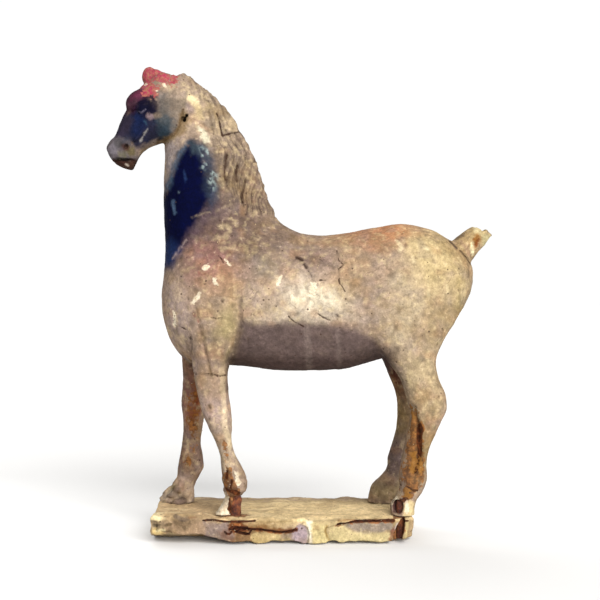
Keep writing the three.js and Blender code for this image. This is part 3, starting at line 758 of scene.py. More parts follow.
# Patches are outlines with how wide their soft edge is, colour, strength and how ragged they are.
PATCHES = [
    # painted shade under the belly, with grime; the second patch darkens its lowest part more
    ([(-36, 190), (-20, 189.5), (8, 191), (36, 190), (62, 186), (80, 177), (92, 162), (96, 130),
      (-50, 130), (-47, 152), (-39, 176)], 5.5, "4b3e3c", 0.92, 0.6),
    ([(-50, 163), (0, 159), (60, 160), (98, 166), (98, 130), (-50, 130)], 7, "3a2d2a", 0.75, 0.6),
    # the blue neck
    ([(-62, 304), (-56, 296), (-54, 284), (-64, 272), (-76, 260), (-88, 250), (-98, 240), (-106, 250),
      (-92, 270)], 7, "42343a", 0.85, 1.6),
    ([(-83, 353), (-76, 351), (-70, 342), (-66, 328), (-62, 312), (-62, 300), (-65, 291), (-72, 283),
      (-78, 273), (-87, 262), (-96, 249), (-104, 238), (-130, 236), (-130, 285), (-112, 296),
      (-105, 308), (-100.5, 320), (-96, 331), (-91, 339), (-86.5, 346)], 4.6, "010320", 1.0, 1.3),
    ([(-86, 350), (-82, 352), (-92, 334), (-101, 308), (-106, 306), (-99, 328)], 3, "3a4a5a", 0.7, 0.8),
    ([(-114, 262), (-98, 262), (-90, 252), (-98, 238), (-114, 236)], 6, "16264a", 0.75, 1),
    ([(-80, 351), (-70, 349), (-61, 334), (-56, 314), (-57, 298), (-63, 290), (-68, 306), (-72, 332)],
      4.6, "252c38", 0.85, 1.3),
    ([(-84, 350), (-77, 351), (-74, 342), (-80, 338)], 3, "303a40", 0.7, 1.2),
    # cheek and face
    ([(-113, 394), (-103, 393), (-99, 382), (-103, 372), (-110, 374)], 3.6, "3a4046", 0.75, 1.2),
    ([(-110, 391), (-96, 392), (-88, 385), (-86, 373), (-90, 362), (-96, 355), (-101, 358), (-105, 366),
      (-112, 378)], 4.5, "5a5046", 0.78, 1.8),
    ([(-113, 384), (-104, 385), (-98, 376), (-96, 362), (-99, 353), (-110, 352), (-113, 368)],
      4, "47433f", 0.74, 1.8),
    ([(-137.4, 376), (-130, 381.4), (-118, 384), (-112.6, 380), (-110.8, 371), (-109, 365.4),
      (-102, 363.7), (-99.3, 358.3), (-103.7, 352.1), (-118, 350.4), (-126.8, 344.2), (-132, 342.4),
      (-135.6, 348.6), (-141, 351.3), (-147, 353), (-160, 353), (-154, 367), (-146, 378)],
      3.4, "0b1228", 0.96, 0.9),
    ([(-132, 375.2), (-124, 375.2), (-120.6, 365.4), (-125, 354.8), (-132, 353), (-135.6, 363.7)],
      4, "071636", 0.8, 1),
    ([(-144, 378), (-150, 369), (-160, 355), (-147, 352), (-139, 357), (-133, 369)],
      2.5, "28222f", 0.85, 1.4),
    ([(-111, 371), (-103, 372), (-97, 367), (-93.6, 360), (-96, 354), (-101, 351.6), (-112, 354)],
      3.6, "27333a", 0.75, 1.4),
    # brow
    ([(-146, 390), (-138, 398), (-128, 401), (-121.4, 397.6), (-116, 394), (-110.8, 392),
      (-110.8, 385.8), (-119.7, 385), (-126.8, 381.6), (-132, 376), (-146, 374)],
      2.6, "2a1222", 0.95, 1),
    ([(-137, 391), (-129.4, 396.4), (-121.4, 395), (-116, 391.6), (-125, 388.6), (-134, 385.8)],
      3, "4d1e31", 0.8, 1.4),
    ([(-125.6, 402), (-120, 401.6), (-120.4, 398), (-124.6, 398)], 1.2, "83747d", 0.8, 1),
    # painted shade in the eye socket under the brow, over the navy paint
    ([(-129, 383), (-122.3, 388), (-112.6, 388), (-107, 382), (-110.6, 374.6), (-116, 371), (-122, 370),
      (-129, 376)], 3, "07071b", 0.95, 1.2),
    ([(-120, 373.4), (-116.5, 374), (-114.8, 371), (-116.5, 368.8), (-119.5, 370.5)],
      1.1, "7b6869", 0.75, 0.7),
    ([(-113, 373.5), (-108.5, 374.6), (-107.5, 371.5), (-112, 370.2)], 1.5, "766656", 0.6, 0.9),
    # muzzle and jaw
    ([(-166, 362), (-149, 356), (-141, 352.6), (-135.6, 348), (-130, 344), (-129, 336), (-143, 330),
      (-166, 330)], 3, "464146", 0.92, 1.2),
    ([(-153, 350), (-149, 349), (-148, 340), (-153, 336), (-160, 344)], 2.4, "686268", 0.6, 2),
    ([(-151, 352), (-146, 353), (-143, 347), (-147, 345)], 2, "3a3838", 0.7, 1.6),
    ([(-146, 340), (-140, 341), (-138, 336.6), (-147, 336)], 1.8, "57523f", 0.7, 1.6),
    ([(-143, 353), (-136, 354), (-134, 346), (-141, 348)], 2.4, "35363f", 0.7, 1),
    ([(-139, 346.6), (-132, 346), (-130.6, 339), (-136.5, 336.6), (-139.6, 341)], 2, "5c5132", 0.75, 1),
    ([(-143.4, 347), (-140, 348.6), (-136.6, 346.6), (-137, 343), (-141.4, 342.2)],
      1.2, "3a2420", 0.85, 0.5),
    ([(-154, 334.4), (-140, 334.2), (-129, 335.6), (-126, 331), (-132, 322), (-154, 322)],
      1.2, "2a1209", 0.92, 0.8),
    # jowl, throat and the chips of ground behind it
    # painted shade with ochre along the jowl's lower edge
    ([(-84, 378), (-82, 368), (-86, 357), (-98, 351), (-112, 347.5), (-126, 340), (-128, 343.5),
      (-112, 351), (-98, 355.5), (-92, 362), (-90, 374)], 2.2, "6c5739", 0.7, 1),
    ([(-85.4, 393.4), (-81.6, 393), (-75.4, 386), (-74.2, 380), (-79, 381), (-84.4, 387.6)],
      1.3, "b9a782", 0.95, 0.8),
    ([(-78, 383), (-72, 380), (-70.6, 369), (-76, 369), (-79, 376)], 2, "a08c68", 0.7, 1),
    ([(-85.4, 383), (-80, 382), (-78.4, 375), (-83, 373), (-86, 378)], 2, "6d5f5c", 0.7, 1),
    ([(-74.6, 362.4), (-71, 361.8), (-66.5, 355.5), (-65.2, 349.6), (-69, 348.2), (-72.6, 353)],
      1.1, "aaa28b", 0.95, 0.8),
    # the light side of the repair in the mane
    ([(-53, 373), (-46, 375), (-38, 364), (-48, 360.6)], 2.4, "ad9878", 0.55, 1.6),
    # the tail's broken end
    ([(169.4, 266.6), (173, 268.4), (177, 266), (176.4, 258), (172, 254), (168.6, 260)],
      2, "6e4416", 0.85, 1.8),
    ([(169.4, 276), (174.4, 277), (175.6, 270.6), (170.6, 270)], 1.5, "b8aa84", 0.7, 1),
    ([(177, 268), (184, 268), (187, 262), (179, 255), (177.6, 262)], 2, "938a68", 0.75, 1.3),
    # a rubbed patch on the breast
    ([(-97, 224), (-90, 226), (-87, 214), (-94, 207)], 2.4, "a8937c", 0.65, 1.2),
    # the split left hind leg and its hollow hoof
    # painted shade inside the hollow of the hoof
    ([(94.8, 36.4), (102.6, 37), (104.4, 31), (102.6, 25), (95, 25.4)], 1.4, "36181a", 0.9, 0.8),
    ([(104.6, 35.6), (109, 38), (115, 33), (116, 20), (102, 20), (104.4, 28)], 1.4, "b5a279", 0.85, 1),
]
# Strokes are lines with their half width, colour and strength.
STROKES = [
    ([(-87, 323), (-85.6, 315)], 0.9, "24375a", 0.45),
    ([(-97, 297), (-95.6, 286)], 1.5, "45586e", 0.6),
    ([(-92, 305), (-91.4, 303.6)], 0.8, "6f8088", 0.6),
    # the next three strokes are painted shade along the grooves of the near foreleg and upper arm
    ([(-72.5, 190), (-69.2, 178), (-64.9, 160), (-61.6, 145)], 0.7, "3f3128", 0.7),
    ([(-80, 180), (-79, 166), (-76, 150)], 0.8, "4d3e36", 0.5),
    ([(-36.6, 209), (-36.2, 190), (-40.6, 170), (-45.8, 156)], 1.8, "4d3f36", 0.55),
    # painted shade in the groove round the jowl
    ([(-88.5, 378), (-90.2, 371), (-92, 362.6), (-96, 356.6), (-103.7, 353), (-112, 351)],
      1.4, "4d3a22", 0.75),
    ([(-128.5, 376.4), (-125, 375.2), (-121.4, 377.8)], 0.45, "6a6474", 0.65),
    ([(-119.7, 361.2), (-126.8, 351.3)], 0.4, "948f8a", 0.7),
    ([(-122.3, 367.4), (-120.4, 364.6)], 0.8, "2f4b5a", 0.6),
    # painted shade in the mouth's slit, then a painted highlight on the lower lip
    ([(-150, 334.2), (-140, 334.4), (-130, 335)], 1.1, "1a0c08", 0.9),
    ([(-140, 330.4), (-138.6, 329.6)], 0.9, "b3a696", 0.8),
    # painted shade filling the socket of the lost ear
    ([(-87.6, 369.2), (-85.2, 373)], 1.4, "0d0605", 0.97),
    ([(105, 126), (108.5, 105.6), (107.7, 84), (103.3, 62.3), (100.7, 49.3)], 1.7, "79634f", 0.6),
    ([(129.6, 114), (128.4, 108)], 1.3, "665a4a", 0.7),
    ([(154.3, 265), (160.6, 267.6)], 1.5, "4b3f34", 0.7),
    ([(148, 261.6), (153.4, 255.6)], 1.3, "3c2e24", 0.9),
    ([(157, 253), (161, 248), (166.5, 241.6)], 1.1, "4a3826", 0.8),
    ([(162.9, 236.5), (162.9, 230)], 0.9, "5a4a38", 0.6),
    ([(-59, 375.5), (-56, 364), (-54.2, 355.6), (-47, 358.5), (-38, 361)], 0.7, "2e221a", 0.85),
    ([(-66, 378), (-63.4, 366), (-61, 356)], 0.9, "4b3e33", 0.55),
    ([(-62.4, 352), (-60, 338), (-56, 326)], 1.0, "55483c", 0.5),
    ([(171.8, 258.6), (174.4, 264)], 1.5, "54290f", 0.75),
    ([(168, 260.4), (169.4, 251)], 1.1, "c9bf9a", 0.75),
    ([(158.6, 262), (163, 256), (166, 250)], 1.6, "8a6f5c", 0.5),
    ([(184.6, 272), (187, 267.6)], 1.2, "5e4230", 0.75),
    ([(-25.8, 198.4), (-25.6, 197)], 0.9, "33261e", 0.9),
    ([(-30.6, 177.2), (-30, 176.4)], 0.9, "33261e", 0.9),
    ([(-52.4, 209), (-51.4, 208)], 0.8, "33261e", 0.9),
    ([(-80.6, 177.2), (-79.6, 176.2)], 1.1, "2b211c", 0.9),
    ([(12, 246.4), (17, 244.4)], 1.5, "332723", 0.9),
    ([(18.6, 240.4), (20.4, 238)], 1.3, "332723", 0.85),
    ([(47, 196.6), (48.4, 195.4)], 0.9, "332723", 0.85),
    ([(83, 231), (84.4, 229.6)], 0.7, "463329", 0.8),
    ([(106.4, 259), (107, 256.6)], 0.8, "5e4038", 0.7),
    ([(99.6, 261), (102.6, 256), (101.6, 253)], 1.5, "c8b892", 0.55),
    ([(112, 247), (113.4, 243)], 1.2, "c0ae8a", 0.5),
    ([(123.4, 255.4), (125.8, 254)], 1.6, "c8b892", 0.55),
    ([(125.5, 226), (125.5, 214)], 0.9, "c4b48e", 0.5),
    ([(142, 222), (142, 216)], 0.9, "c4b48e", 0.5),
    ([(117, 54.4), (118.2, 51.6)], 0.9, "c8b48a", 0.6),
    ([(138, 185.2), (138.4, 184)], 0.8, "4a3c2a", 0.8),
    ([(133.7, 172.4), (133.9, 171.2)], 0.8, "4a3c2a", 0.8),
    ([(114.6, 247), (115, 246)], 0.7, "5a4636", 0.8),
    ([(-72, 233.2), (-62, 231.4)], 0.8, "6b3a34", 0.6),
    ([(-77, 198), (-76, 196)], 1.2, "6e3d3c", 0.55),
    ([(-73.4, 192.4), (-72.4, 190.8)], 0.9, "6e3d3c", 0.55),
    ([(-97, 246), (-91, 253), (-84, 262)], 1.0, "a08c84", 0.45),
    ([(-78.6, 282.3), (-70, 285.5), (-58, 288), (-45.2, 294.6)], 0.7, "96846a", 0.35),
    ([(-63.4, 119), (-62.6, 116.4)], 1.0, "4a3c32", 0.8),
    ([(-63.6, 107.4), (-63, 105.6)], 0.9, "4a3c32", 0.8),
    ([(-53, 150), (-51, 122), (-50, 100), (-45, 84)], 2.2, "bba888", 0.45),
    ([(21, 184), (23, 150)], 3, "7f7168", 0.2),
    ([(47, 184), (50, 152)], 2, "7f7168", 0.15),
    ([(-61.5, 378), (-58.6, 366), (-56.6, 357)], 1.2, "a08b6b", 0.5),
    ([(-47.6, 74), (-47.2, 73)], 0.8, "4b4136", 0.8),
]
# Pigments break up with the grain of the clay: outlines in X and Z, how wide the edge is, their main and
# worn colours, how much they are broken up, and how fully they cover.
PIGMENTS = {
    "bleed": ([
        [(112, 119), (109.4, 97), (107, 75), (103, 53.6), (102, 48), (103.3, 37), (112, 37),
         (113, 46.7), (119.8, 47.6), (122.4, 58), (123.3, 71), (121.5, 88), (119, 101), (115.5, 114)],
        [(-49.4, 66), (-45.6, 64.4), (-43.4, 57), (-40, 52), (-36.6, 45), (-36, 40), (-33.6, 30),
         (-33, 22), (-45, 22), (-46.4, 31), (-48.6, 42), (-51.4, 47), (-52, 57)],
        [(-51.4, 89), (-48.6, 85), (-47.4, 76), (-49, 70), (-50.8, 80)],
    ], 2.5, "4a2a0e", "70451a", 1.3, 0.82),
    "core": ([
        [(115.6, 102), (118.6, 103.6), (121.4, 96), (120.2, 88), (121.2, 80), (119, 70), (115.6, 60),
         (112.6, 59.6), (115, 68), (116.4, 78), (115.4, 90)],
        [(-49.4, 63), (-47.2, 63), (-47.4, 55), (-49.4, 55)],
        [(-45, 54.6), (-42.8, 54.6), (-43.6, 47), (-46, 47)],
        [(-50.6, 48.4), (-40, 45.8), (-36, 42.4), (-37.4, 40), (-42, 42), (-50, 44.6)],
        [(-48.8, 40.6), (-46.6, 38), (-44.2, 28), (-44, 23), (-47.6, 24), (-48.6, 32)],
        [(101.6, 38.6), (107.4, 39.6), (109, 36.8), (104.4, 34.6), (103, 27), (99.6, 26.4), (100, 33)],
    ], 1.5, "260f06", "44200d", 0.7, 0.92),
    "amber": ([
        [(110.6, 78), (115, 79), (116, 70), (113.6, 60), (110, 63)],
        [(116.8, 74), (120.6, 73), (121, 62), (117, 60)],
        [(103.6, 47.6), (111, 46.4), (110.6, 39), (104.4, 39.4)],
        [(111.4, 116), (114, 114), (114.2, 107), (112, 108)],
    ], 1.8, "7a5220", "6a4b26", 1.3, 0.75),
    "red": ([
        [(-131, 402), (-131, 425), (-104, 425), (-94, 411), (-92, 404), (-97, 397.4), (-104, 397.6),
         (-110.6, 395.4), (-113, 391), (-119, 389.4), (-125, 395.6)],
    ], 3, "8f3044", "7d5140", 1.8, 0.95),
    "chips": ([
        [(-71, 236), (-67, 241), (-64.5, 238.5), (-66.5, 235), (-71, 234)],
        [(-79, 207), (-72.5, 217.5), (-69.5, 217), (-71, 212), (-76, 206)],
        [(-61.5, 226), (-60.5, 230), (-58, 229), (-54.5, 221.5), (-59, 222.5)],
        [(24, 226), (29.6, 226), (30, 217), (25, 216.4)],
        [(-3.5, 230), (-0.5, 231.5), (-1, 227), (-3.5, 221), (-5.5, 224)],
        [(-51, 244), (-48, 244), (-44, 239), (-46, 238.5)],
        [(-97, 200), (-94.4, 199), (-92.5, 186), (-95.5, 186)],
        [(-50, 44), (-47, 39), (-48, 32), (-48, 27.6), (-45, 22), (-62, 21), (-60.3, 26.4), (-55.1, 29),
         (-54.3, 36.3)],
        [(92.4, 38.6), (99, 39.4), (99.4, 36.6), (96, 35.4), (95, 31), (92.6, 30.6)],
        [(105.8, 35), (108, 36), (109.4, 29), (107.6, 24), (105.4, 27)],
        [(-42.4, 62.6), (-38.4, 61), (-35.6, 52), (-38.4, 48), (-40.6, 55)],
        [(-108.4, 402), (-104.5, 401.6), (-102.3, 397.4), (-106, 398.2)],
        [(-124, 402.8), (-121, 403.8), (-120, 401), (-123, 400)],
        [(-113.2, 395.8), (-110.4, 396), (-110.2, 393.6), (-112.6, 393.4)],
    ], 1.2, "cfc2a9", "a3927a", 1.0, 0.88),
}
LEFT_ONLY = {"bleed", "core", "amber", "chips"}
FAR_BLEED = [(-83.5, 114, 6, 34), (-88, 62, 4.5, 4.5)]  # centre and reach of fainter bleed on the far leg
SCUFF, GRIT, WARM, COOL, GROIN_SHADE = "b8a47c", "54463a", "8f6a48", "6b6260", "3b2a2b"
LOCK_PAINTED_HIGHLIGHT, LOCK_PAINTED_SHADE, RUBBED_BLUE = "978466", "43362d", "8e9c98"
WORN_BLUE = [(-73, 345), (-66, 342), (-58, 318), (-61, 306), (-70, 316)]


def plain(code, x):
    """The same colour at every place."""
    return np.tile(np.array(colour(code)[:3])[:, None], x.shape[0])


def blended(under, over, share):
    """One colour over another in that share."""
    return under + (np.array(colour(over)[:3])[:, None] - under) * share


def clouded(tint, x, z, clouds, share=1):
    """The clouds of colour, stains and painted light alike, laid over a tint in a share of their strength.
    """
    for at_x, at_z, reach_x, reach_z, code, strength in clouds:
        cloud = np.exp(-(((x - at_x) / reach_x) ** 2) - ((z - at_z) / reach_z) ** 2)
        tint = blended(tint, code, np.minimum(1.25 * cloud, 1) * strength * share)
    return tint


def patched(tint, x, z, patches, ragged, where):
    """The patches laid over a tint with ragged edges, in that share, and how bare of them each place is."""
    bare = np.ones_like(x)
    for outline, edge, code, strength, rough in patches:
        share = ease(depth_in(x, z, outline) + rough * ragged, -edge, edge) * strength * where
        tint = blended(tint, code, share)
        bare = np.minimum(bare, 1 - share)
    return tint, bare


def laid_strokes(tint, x, z, strokes, ragged, where):
    """The strokes drawn over a tint with ragged edges, in that share."""
    for path, half, code, strength in strokes:
        near = from_path(x, z, path) + 0.3 * ragged
        tint = blended(tint, code, ease(-near, -half - 0.7, -half + 0.7) * strength * where)
    return tint


def horse_layers(x, y, z):
    """How fully each pigment covers each place, 0 to 1, with 0.5 at its edge."""
    left = ease(-y, -4, 4)
    ragged_x = swells(x, y, z, (1.8, 9, 41), (0.9, 3.5, 42))
    ragged_z = swells(x, y, z, (1.8, 9, 43), (0.9, 3.5, 44))
    drift = (1 - left) * 7 * grain(x, y, z, 30, 45)
    layers = {}
    for name, (outlines, edge, *_) in PIGMENTS.items():
        sway = 0.35 if name in ("chips", "core") else 1
        depth = np.full(x.shape, -99.0, np.float32)
        for outline in outlines:
            depth = np.maximum(depth, depth_in(x + sway * ragged_x + drift, z + sway * ragged_z, outline))
        layers[name] = np.clip(0.5 + depth / (2 * edge), 0, 1) * (left if name in LEFT_ONLY else 1)
    layers["red"] *= 1 - 0.3 * ease(x, -118, -104)
    far_leg = ease(y, 8, 16) * ease(-z, -150, -120)
    for at_x, at_z, reach_x, reach_z in FAR_BLEED:
        off = np.hypot((x - at_x + ragged_x) / reach_x, (z - at_z + ragged_z) / reach_z)
        layers["bleed"] = np.maximum(layers["bleed"], far_leg * ease(-off, -1.6, -0.6) * 0.5)
    layers["crack"] = np.zeros_like(x)
    for bold, crack in CRACKS:
        near = from_path(x + 0.5 * ragged_x, z + 0.5 * ragged_z, crack)
        layers["crack"] = np.maximum(layers["crack"], bold * np.clip(1 - near / CRACK_REACH, 0, 1) * left)
    layers["hollow"] = horse_relief(x, y, z)[1]
    return layers


def horse_tint(x, y, z):
    """The stained slip, grime, soft paint, painted shade and painted highlight at each place, as a colour.
    """
    tint = plain(SLIP, x)
    left = ease(-y, -4, 4)
    drift = (1 - left) * 6 * grain(x, y, z, 30, 45)
    swirled_x = x + (swells(x, y, z, (5, 16, 46), (2.4, 6, 47)) + drift)
    swirled_z = z + swells(x, y, z, (5, 16, 48), (2.4, 6, 49))
    far_leg = ease(y, 4, 14) * ease(-z, -176, -158)
    tint = clouded(tint, swirled_x, swirled_z, STAINS_AND_PAINTED_LIGHT, 1 - far_leg)
    tint = clouded(tint, swirled_x, swirled_z, FAR_LEG_STAINS_AND_PAINTED_SHADE, far_leg)
    patchy, fine = swells(x, y, z, (1, 4.2, 50), (0.6, 11, 35)), grain(x, y, z, 2.2, 36)
    tint = blended(tint, WARM, 0.3 * ease(grain(x, y, z, 9, 38), 0.1, 0.8))
    tint = blended(tint, COOL, 0.22 * ease(grain(x, y, z, 8, 39), 0.1, 0.8))
    tint = blended(tint, SCUFF, 0.36 * ease(patchy + 1.1 * fine, 0.2, 1.2))
    tint = blended(tint, GRIT, 0.42 * ease(-patchy + 1.1 * fine, 0.3, 1.2))
    band, comb, strand, deep = mane_locks(x, y, z)
    # painted highlight on the mane's raised locks and painted shade in its combed grooves
    tint = blended(tint, LOCK_PAINTED_HIGHLIGHT, 0.5 * band * (1 - strand) * (1 - comb) * (0.7 + 0.5 * fine))
    dark = np.clip(1.2 * comb + 1.3 * deep + 0.25 * strand, 0, 1)
    tint = blended(tint, LOCK_PAINTED_SHADE, 0.72 * band * dark * (0.8 - 0.4 * fine))
    groin = ease(-np.abs(y), -24, -12) * ease(-z, -168, -150) * ease(np.abs(x - 8), 50, 75)
    tint = blended(tint, GROIN_SHADE, 0.75 * groin)
    ragged = 1.5 * grain(x, y, z, 7, 37) + 1.4 * fine
    where = 1 - (1 - left) * ease(-z, -150, -130)
    tint, bare = patched(tint, x + drift, z, PATCHES, ragged, where)
    streaks = grain(2.2 * x + 0.8 * z, y, 0.7 * z, 3.6, 40) + 0.6 * fine
    worn = ease(depth_in(x, z, WORN_BLUE), -3, 3) * left * ease(streaks, 0.05, 0.45)
    tint = blended(tint, RUBBED_BLUE, 0.72 * worn)
    face = ease(z, 330, 340) * ease(-x, 80, 90)
    tint = laid_strokes(tint, x + drift, z, STROKES, ragged, np.maximum(left, face))
    return tint, bare


def write_tint(piece, tint, bare):
    """Stores on each vertex of a piece its colour, and in the alpha how bare it is of paint, grime and
    painted shade.
    """
    shades = np.concatenate([tint, [bare]]).T
    piece.data.color_attributes.new("tint", "FLOAT_COLOR", "POINT").data.foreach_set(
        "color", np.ascontiguousarray(shades, np.float32).ravel()
    )


# Earthenware under cold paint is matt and chalky: a stained slip that mottles over a few mm, with sand
# grains about 1 mm wide, dark pinholes and paler rubbed swells. Each pigment has a crumbled edge.
SAND, PINHOLE, CREVICE, MAUVE, OCHRE = "c9b898", "3b2c25", "2e1d15", "6a5658", "9a7c4e"
MOTTLES = [  # size in mm, detail, and the darkest and lightest it makes the clay
    (30, 3, 0.86, 1.14),
    (9, 4, 0.8, 1.2),
    (3.4, 4, 0.76, 1.24),
    (1.4, 2, 0.86, 1.14),
]
PINHOLE_SPACING = 5.5
CRAZE_SPACING = 24  # hairline crazing; its lines are drawn about 0.6 mm wide so that they show
WOBBLE_SIZE, WOBBLE = 9, 0.011  # mm between the bends of a crazed line, and how far in metres it strays


def earthen(name, pigments, hollow, crazing, relief, gloss):
    """Stained clay with its pigments, cracks and hollows, as dark and as deep as its settings say."""
    made, tree = new_material(name)
    place = add(tree, "ShaderNodeTexCoord", take="Object")
    tint = add(tree, "ShaderNodeAttribute", attribute_name="tint", take="Color")
    bare = add(tree, "ShaderNodeAttribute", attribute_name="tint", take="Alpha")
    noises = []
    for size, detail, _, _ in MOTTLES:
        sockets = {"Vector": place, "Scale": 1000 / size, "Detail": detail, "Roughness": 0.6}
        noises.append(add(tree, "ShaderNodeTexNoise", sockets, take=0))
    cloud, blotch, speck, dust = noises
    base = tint
    for noise, low, high, strength, code in (
        (blotch, 0.5, 0.72, 0.14, MAUVE),
        (cloud, 0.52, 0.3, 0.25, OCHRE),
        (speck, 0.6, 0.78, 0.25, SAND),
    ):
        sockets = {"Value": noise, "From Min": low, "From Max": high, "To Max": strength}
        share = add(tree, "ShaderNodeMapRange", sockets, interpolation_type="SMOOTHSTEP")
        share = add(tree, "ShaderNodeMath", {0: share, 1: bare}, operation="MULTIPLY")
        base = add(tree, "ShaderNodeMix", {0: share, 6: base, 7: colour(code)}, data_type="RGBA")
    rough = add(tree, "ShaderNodeMath", {0: speck, 1: blotch}, operation="ADD")
    rough = add(tree, "ShaderNodeMath", {0: rough, 1: 1.0}, operation="SUBTRACT")
    for name, (_, _, main, worn, breakup, strength) in pigments.items():
        layer = add(tree, "ShaderNodeAttribute", attribute_name=name, take="Fac")
        sockets = {0: rough, 1: breakup * 1.6, 2: layer}
        crumbled = add(tree, "ShaderNodeMath", sockets, operation="MULTIPLY_ADD")
        sockets = {"Value": crumbled, "From Min": 0.34, "From Max": 0.66, "To Max": strength}
        shown = add(tree, "ShaderNodeMapRange", sockets, interpolation_type="SMOOTHSTEP")
        near = add(tree, "ShaderNodeMapRange", {"Value": layer, "From Max": 0.15})
        shown = add(tree, "ShaderNodeMath", {0: shown, 1: near}, operation="MULTIPLY")
        sockets = {"Value": speck, "From Min": 0.4, "From Max": 0.66}
        share = add(tree, "ShaderNodeMapRange", sockets, interpolation_type="SMOOTHSTEP")
        sockets = {0: share, 6: colour(main), 7: colour(worn)}
        tone = add(tree, "ShaderNodeMix", sockets, data_type="RGBA")
        base = add(tree, "ShaderNodeMix", {0: shown, 6: base, 7: tone}, data_type="RGBA")
    for noise, (_, _, dark, light) in zip(noises, MOTTLES):
        sockets = {"Value": noise, "From Min": 0.3, "From Max": 0.7, "To Min": dark, "To Max": light}
        factor = add(tree, "ShaderNodeMapRange", sockets)
        sockets = {0: 1.0, 6: base, 7: factor}
        base = add(tree, "ShaderNodeMix", sockets, data_type="RGBA", blend_type="MULTIPLY")
    sockets = {"Vector": place, "Scale": 1000 / PINHOLE_SPACING}
    pinhole = add(tree, "ShaderNodeTexVoronoi", sockets, take="Distance")
    chance = add(tree, "ShaderNodeTexVoronoi", sockets, take="Color")
    chance = add(tree, "ShaderNodeSeparateColor", {"Color": chance}, take="Red")
    chance = add(tree, "ShaderNodeMath", {0: chance, 1: blotch}, operation="ADD")
    sockets = {"Value": chance, "From Min": 1.0, "From Max": 1.5, "To Max": 0.2}
    chance = add(tree, "ShaderNodeMapRange", sockets)
    pinhole = add(tree, "ShaderNodeMath", {0: chance, 1: pinhole}, operation="SUBTRACT")
    sockets = {"Value": pinhole, "From Min": 0.0, "From Max": 0.07, "To Max": 0.8}
    pinhole = add(tree, "ShaderNodeMapRange", sockets)
    # darker where the hollow layer is high: painted shade in pits and grooves, and random darker patches
    layer = add(tree, "ShaderNodeAttribute", attribute_name="hollow", take="Fac")
    sockets = {"Value": layer, "From Min": 0.25, "From Max": 0.95, "To Max": hollow}
    sunken = add(tree, "ShaderNodeMapRange", sockets, interpolation_type="SMOOTHSTEP")
    layer = add(tree, "ShaderNodeAttribute", attribute_name="crack", take="Fac")
    line = add(tree, "ShaderNodeMath", {0: rough, 1: 0.8, 2: layer}, operation="MULTIPLY_ADD")
    sockets = {"Value": line, "From Min": 0.72, "From Max": 0.92, "To Max": 0.85}
    line = add(tree, "ShaderNodeMapRange", sockets, interpolation_type="SMOOTHSTEP")
    sockets = {"Vector": place, "Scale": 1000 / WOBBLE_SIZE, "Detail": 3}
    wobble = add(tree, "ShaderNodeTexNoise", sockets, take="Color")
    sockets = {0: wobble, 1: (WOBBLE, WOBBLE, WOBBLE), 2: place}
    wobble = add(tree, "ShaderNodeVectorMath", sockets, operation="MULTIPLY_ADD")
    sockets = {"Vector": wobble, "Scale": 1000 / CRAZE_SPACING}
    craze = add(tree, "ShaderNodeTexVoronoi", sockets, feature="DISTANCE_TO_EDGE")
    sockets = {"Value": craze, "From Min": 0.008, "From Max": 0.026, "To Min": 1, "To Max": 0}
    craze = add(tree, "ShaderNodeMapRange", sockets)
    sockets = {"Value": cloud, "From Min": 0.54, "From Max": 0.64, "To Max": crazing}
    where = add(tree, "ShaderNodeMapRange", sockets, interpolation_type="SMOOTHSTEP")
    craze = add(tree, "ShaderNodeMath", {0: craze, 1: where}, operation="MULTIPLY")
    craze = add(tree, "ShaderNodeMath", {0: craze, 1: bare}, operation="MULTIPLY")
    for share, code in ((pinhole, PINHOLE), (sunken, CREVICE), (line, CREVICE), (craze, CREVICE)):
        base = add(tree, "ShaderNodeMix", {0: share, 6: base, 7: colour(code)}, data_type="RGBA")
    height = add(tree, "ShaderNodeMath", {0: speck, 1: 0.8}, operation="MULTIPLY")
    height = add(tree, "ShaderNodeMath", {0: dust, 1: 0.4, 2: height}, operation="MULTIPLY_ADD")
    height = add(tree, "ShaderNodeMath", {0: pinhole, 1: -0.5, 2: height}, operation="MULTIPLY_ADD")
    height = add(tree, "ShaderNodeMath", {0: line, 1: -0.8, 2: height}, operation="MULTIPLY_ADD")
    bump = add(tree, "ShaderNodeBump", {"Height": height, **relief})
    surface = add(tree, "ShaderNodeBsdfPrincipled", {"Base Color": base, "Normal": bump, **gloss})
    add(tree, "ShaderNodeOutputMaterial", {"Surface": surface})
    return made


painted = earthen(
    "painted_earthenware", PIGMENTS, 0.85, 0.3,
    relief={"Strength": 0.6, "Distance": 0.001}, gloss={"Roughness": 0.88, "Specular IOR Level": 0.05},
)
HORSE_SPACING = 1.05
HORSE_TRIANGLES = 190000
resting = (GROUND + 0.4, GROUND + 2)
horse = fired_piece("painted_horse", whole_horse, horse_relief, box_in_mm("horse"),
                    HORSE_SPACING, HORSE_TRIANGLES, resting, painted)
write_layers(horse, horse_layers(*places_of(horse)))
write_tint(horse, *horse_tint(*places_of(horse)))
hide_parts("horse")
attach(horse, "root")

